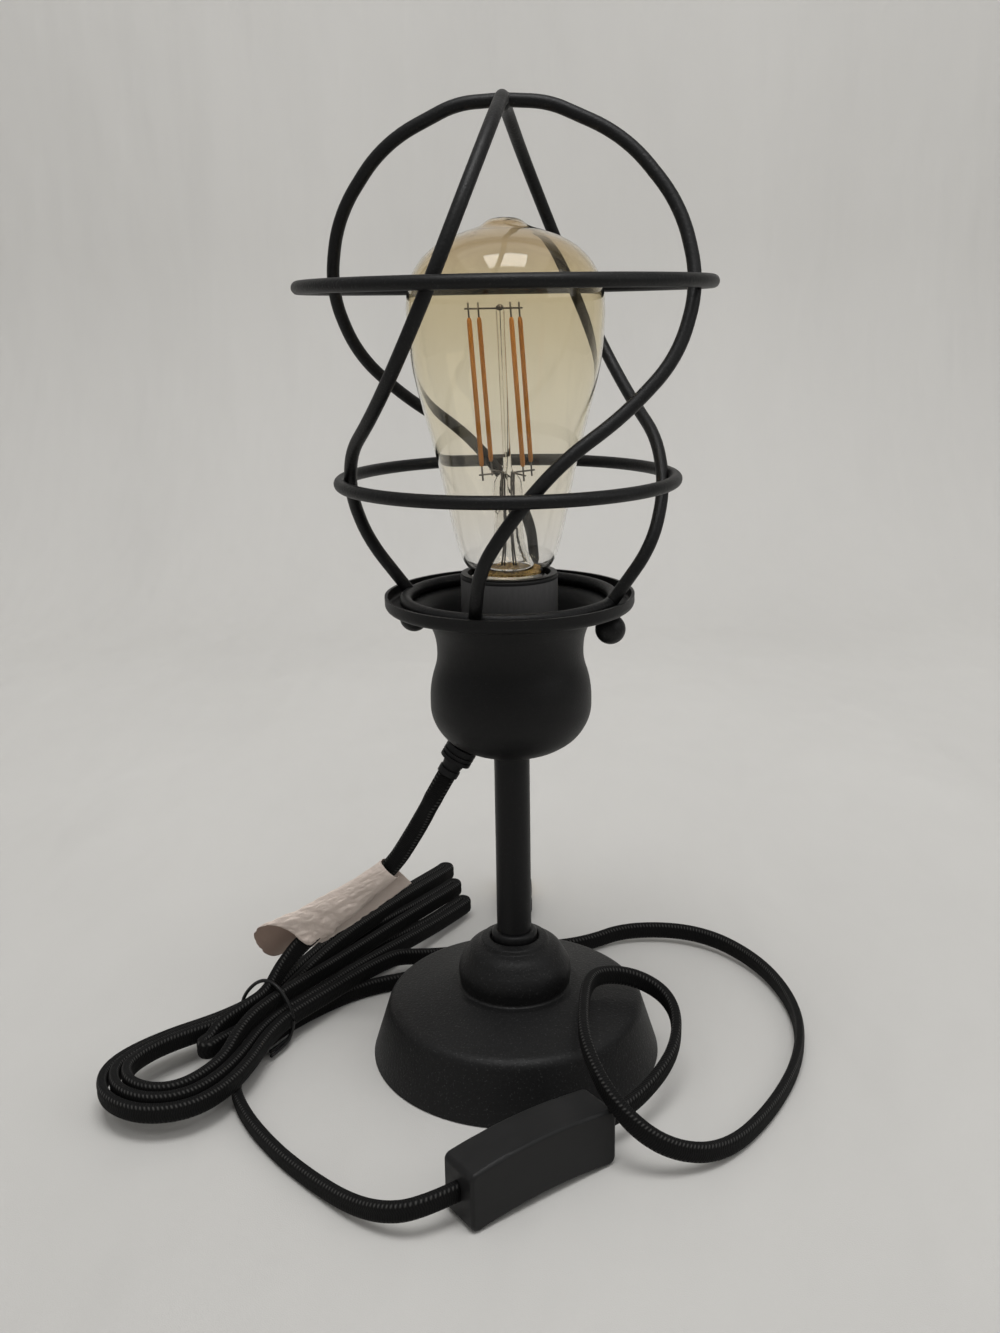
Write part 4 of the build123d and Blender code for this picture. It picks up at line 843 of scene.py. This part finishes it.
stick_ring, stick_low, stick_high, stick_r, stick_around = 0.0098, 0.2197, 0.2672, 0.0008, 14
stick_first, stick_shift, stick_lean = 32.8, -0.0003, -0.0032
stick_ends = [(0.0, 0.55), (0.0006, 0.9), (0.0015, 1.0)]
pin_long, pin_over, pin_sunk, wire_r, wire_over, wire_around = 0.0028, 1.7, 0.001, 0.0003, 0.0013, 8
pinch_share, lead_spots = 0.2, [(0.25, 0.2120), (0.2, 0.2060), (0.13, 0.1960), (0.3, 0.1850)]
sticks, wires = bmesh.new(), bmesh.new()
for i in range(4):
    turn = radians(stick_first + 90 * i)
    x, y = stick_ring * cos(turn), stick_ring * sin(turn)
    foot = Vector((x + stick_shift, y, stick_low))
    head = Vector((x + stick_shift + stick_lean, y, stick_high))
    lift = (head - foot).normalized()
    shares = stick_ends + [((head - foot).length - at, thick) for at, thick in reversed(stick_ends)]
    stick_line = [foot + lift * at for at, _ in shares]
    run_along(sticks, stick_line, round_section(stick_r, stick_around), swell=[thick for _, thick in shares])
    cross_high, cross_low = head + lift * pin_long, foot - lift * pin_long
    bead, pinch = Vector((stem_lean, 0, cross_high.z)), Vector((x * pinch_share, 0, cross_low.z))
    strands = [
        [head - lift * pin_sunk, head + lift * pin_long * pin_over],
        [foot + lift * pin_sunk, foot - lift * pin_long * pin_over],
        [bead, cross_high + (cross_high - bead).normalized() * wire_over],
        [pinch, cross_low + (cross_low - pinch).normalized() * wire_over],
        smooth_line([pinch] + [Vector((x * share, 0, z)) for share, z in lead_spots], 6),
    ]
    for strand in strands:
        run_along(wires, strand, round_section(wire_r, wire_around))
bead_r, bead_tall, bead_around = 0.0013, 0.0020, 20
bead_shares = [0.3, 0.72, 0.93, 1.0, 0.95, 0.78, 0.4]
bead_up = Vector((stem_lean, 0, stem_top - pinch_high)).normalized() * (bead_tall / (len(bead_shares) - 1))
bead_foot = Vector((stem_lean, 0, stem_top - bead_tall / 2))
bead_line = [bead_foot + bead_up * i for i in range(len(bead_shares))]
run_along(wires, bead_line, round_section(bead_r, bead_around), swell=bead_shares)
phosphor = moulded("filament_phosphor", (0.62, 0.27, 0.075), rough=0.6, grain_size=0.0003, grain_deep=0.00006)
wire_nickel = zinc_plate("wire_nickel", (0.2, 0.19, 0.18))
fit(new_piece("filament_sticks", sticks), "bulb", "filament_coat", phosphor, "bulb_filaments")
fit(new_piece("filament_wires", wires), "bulb", "support_wire", wire_nickel, "bulb_supports")
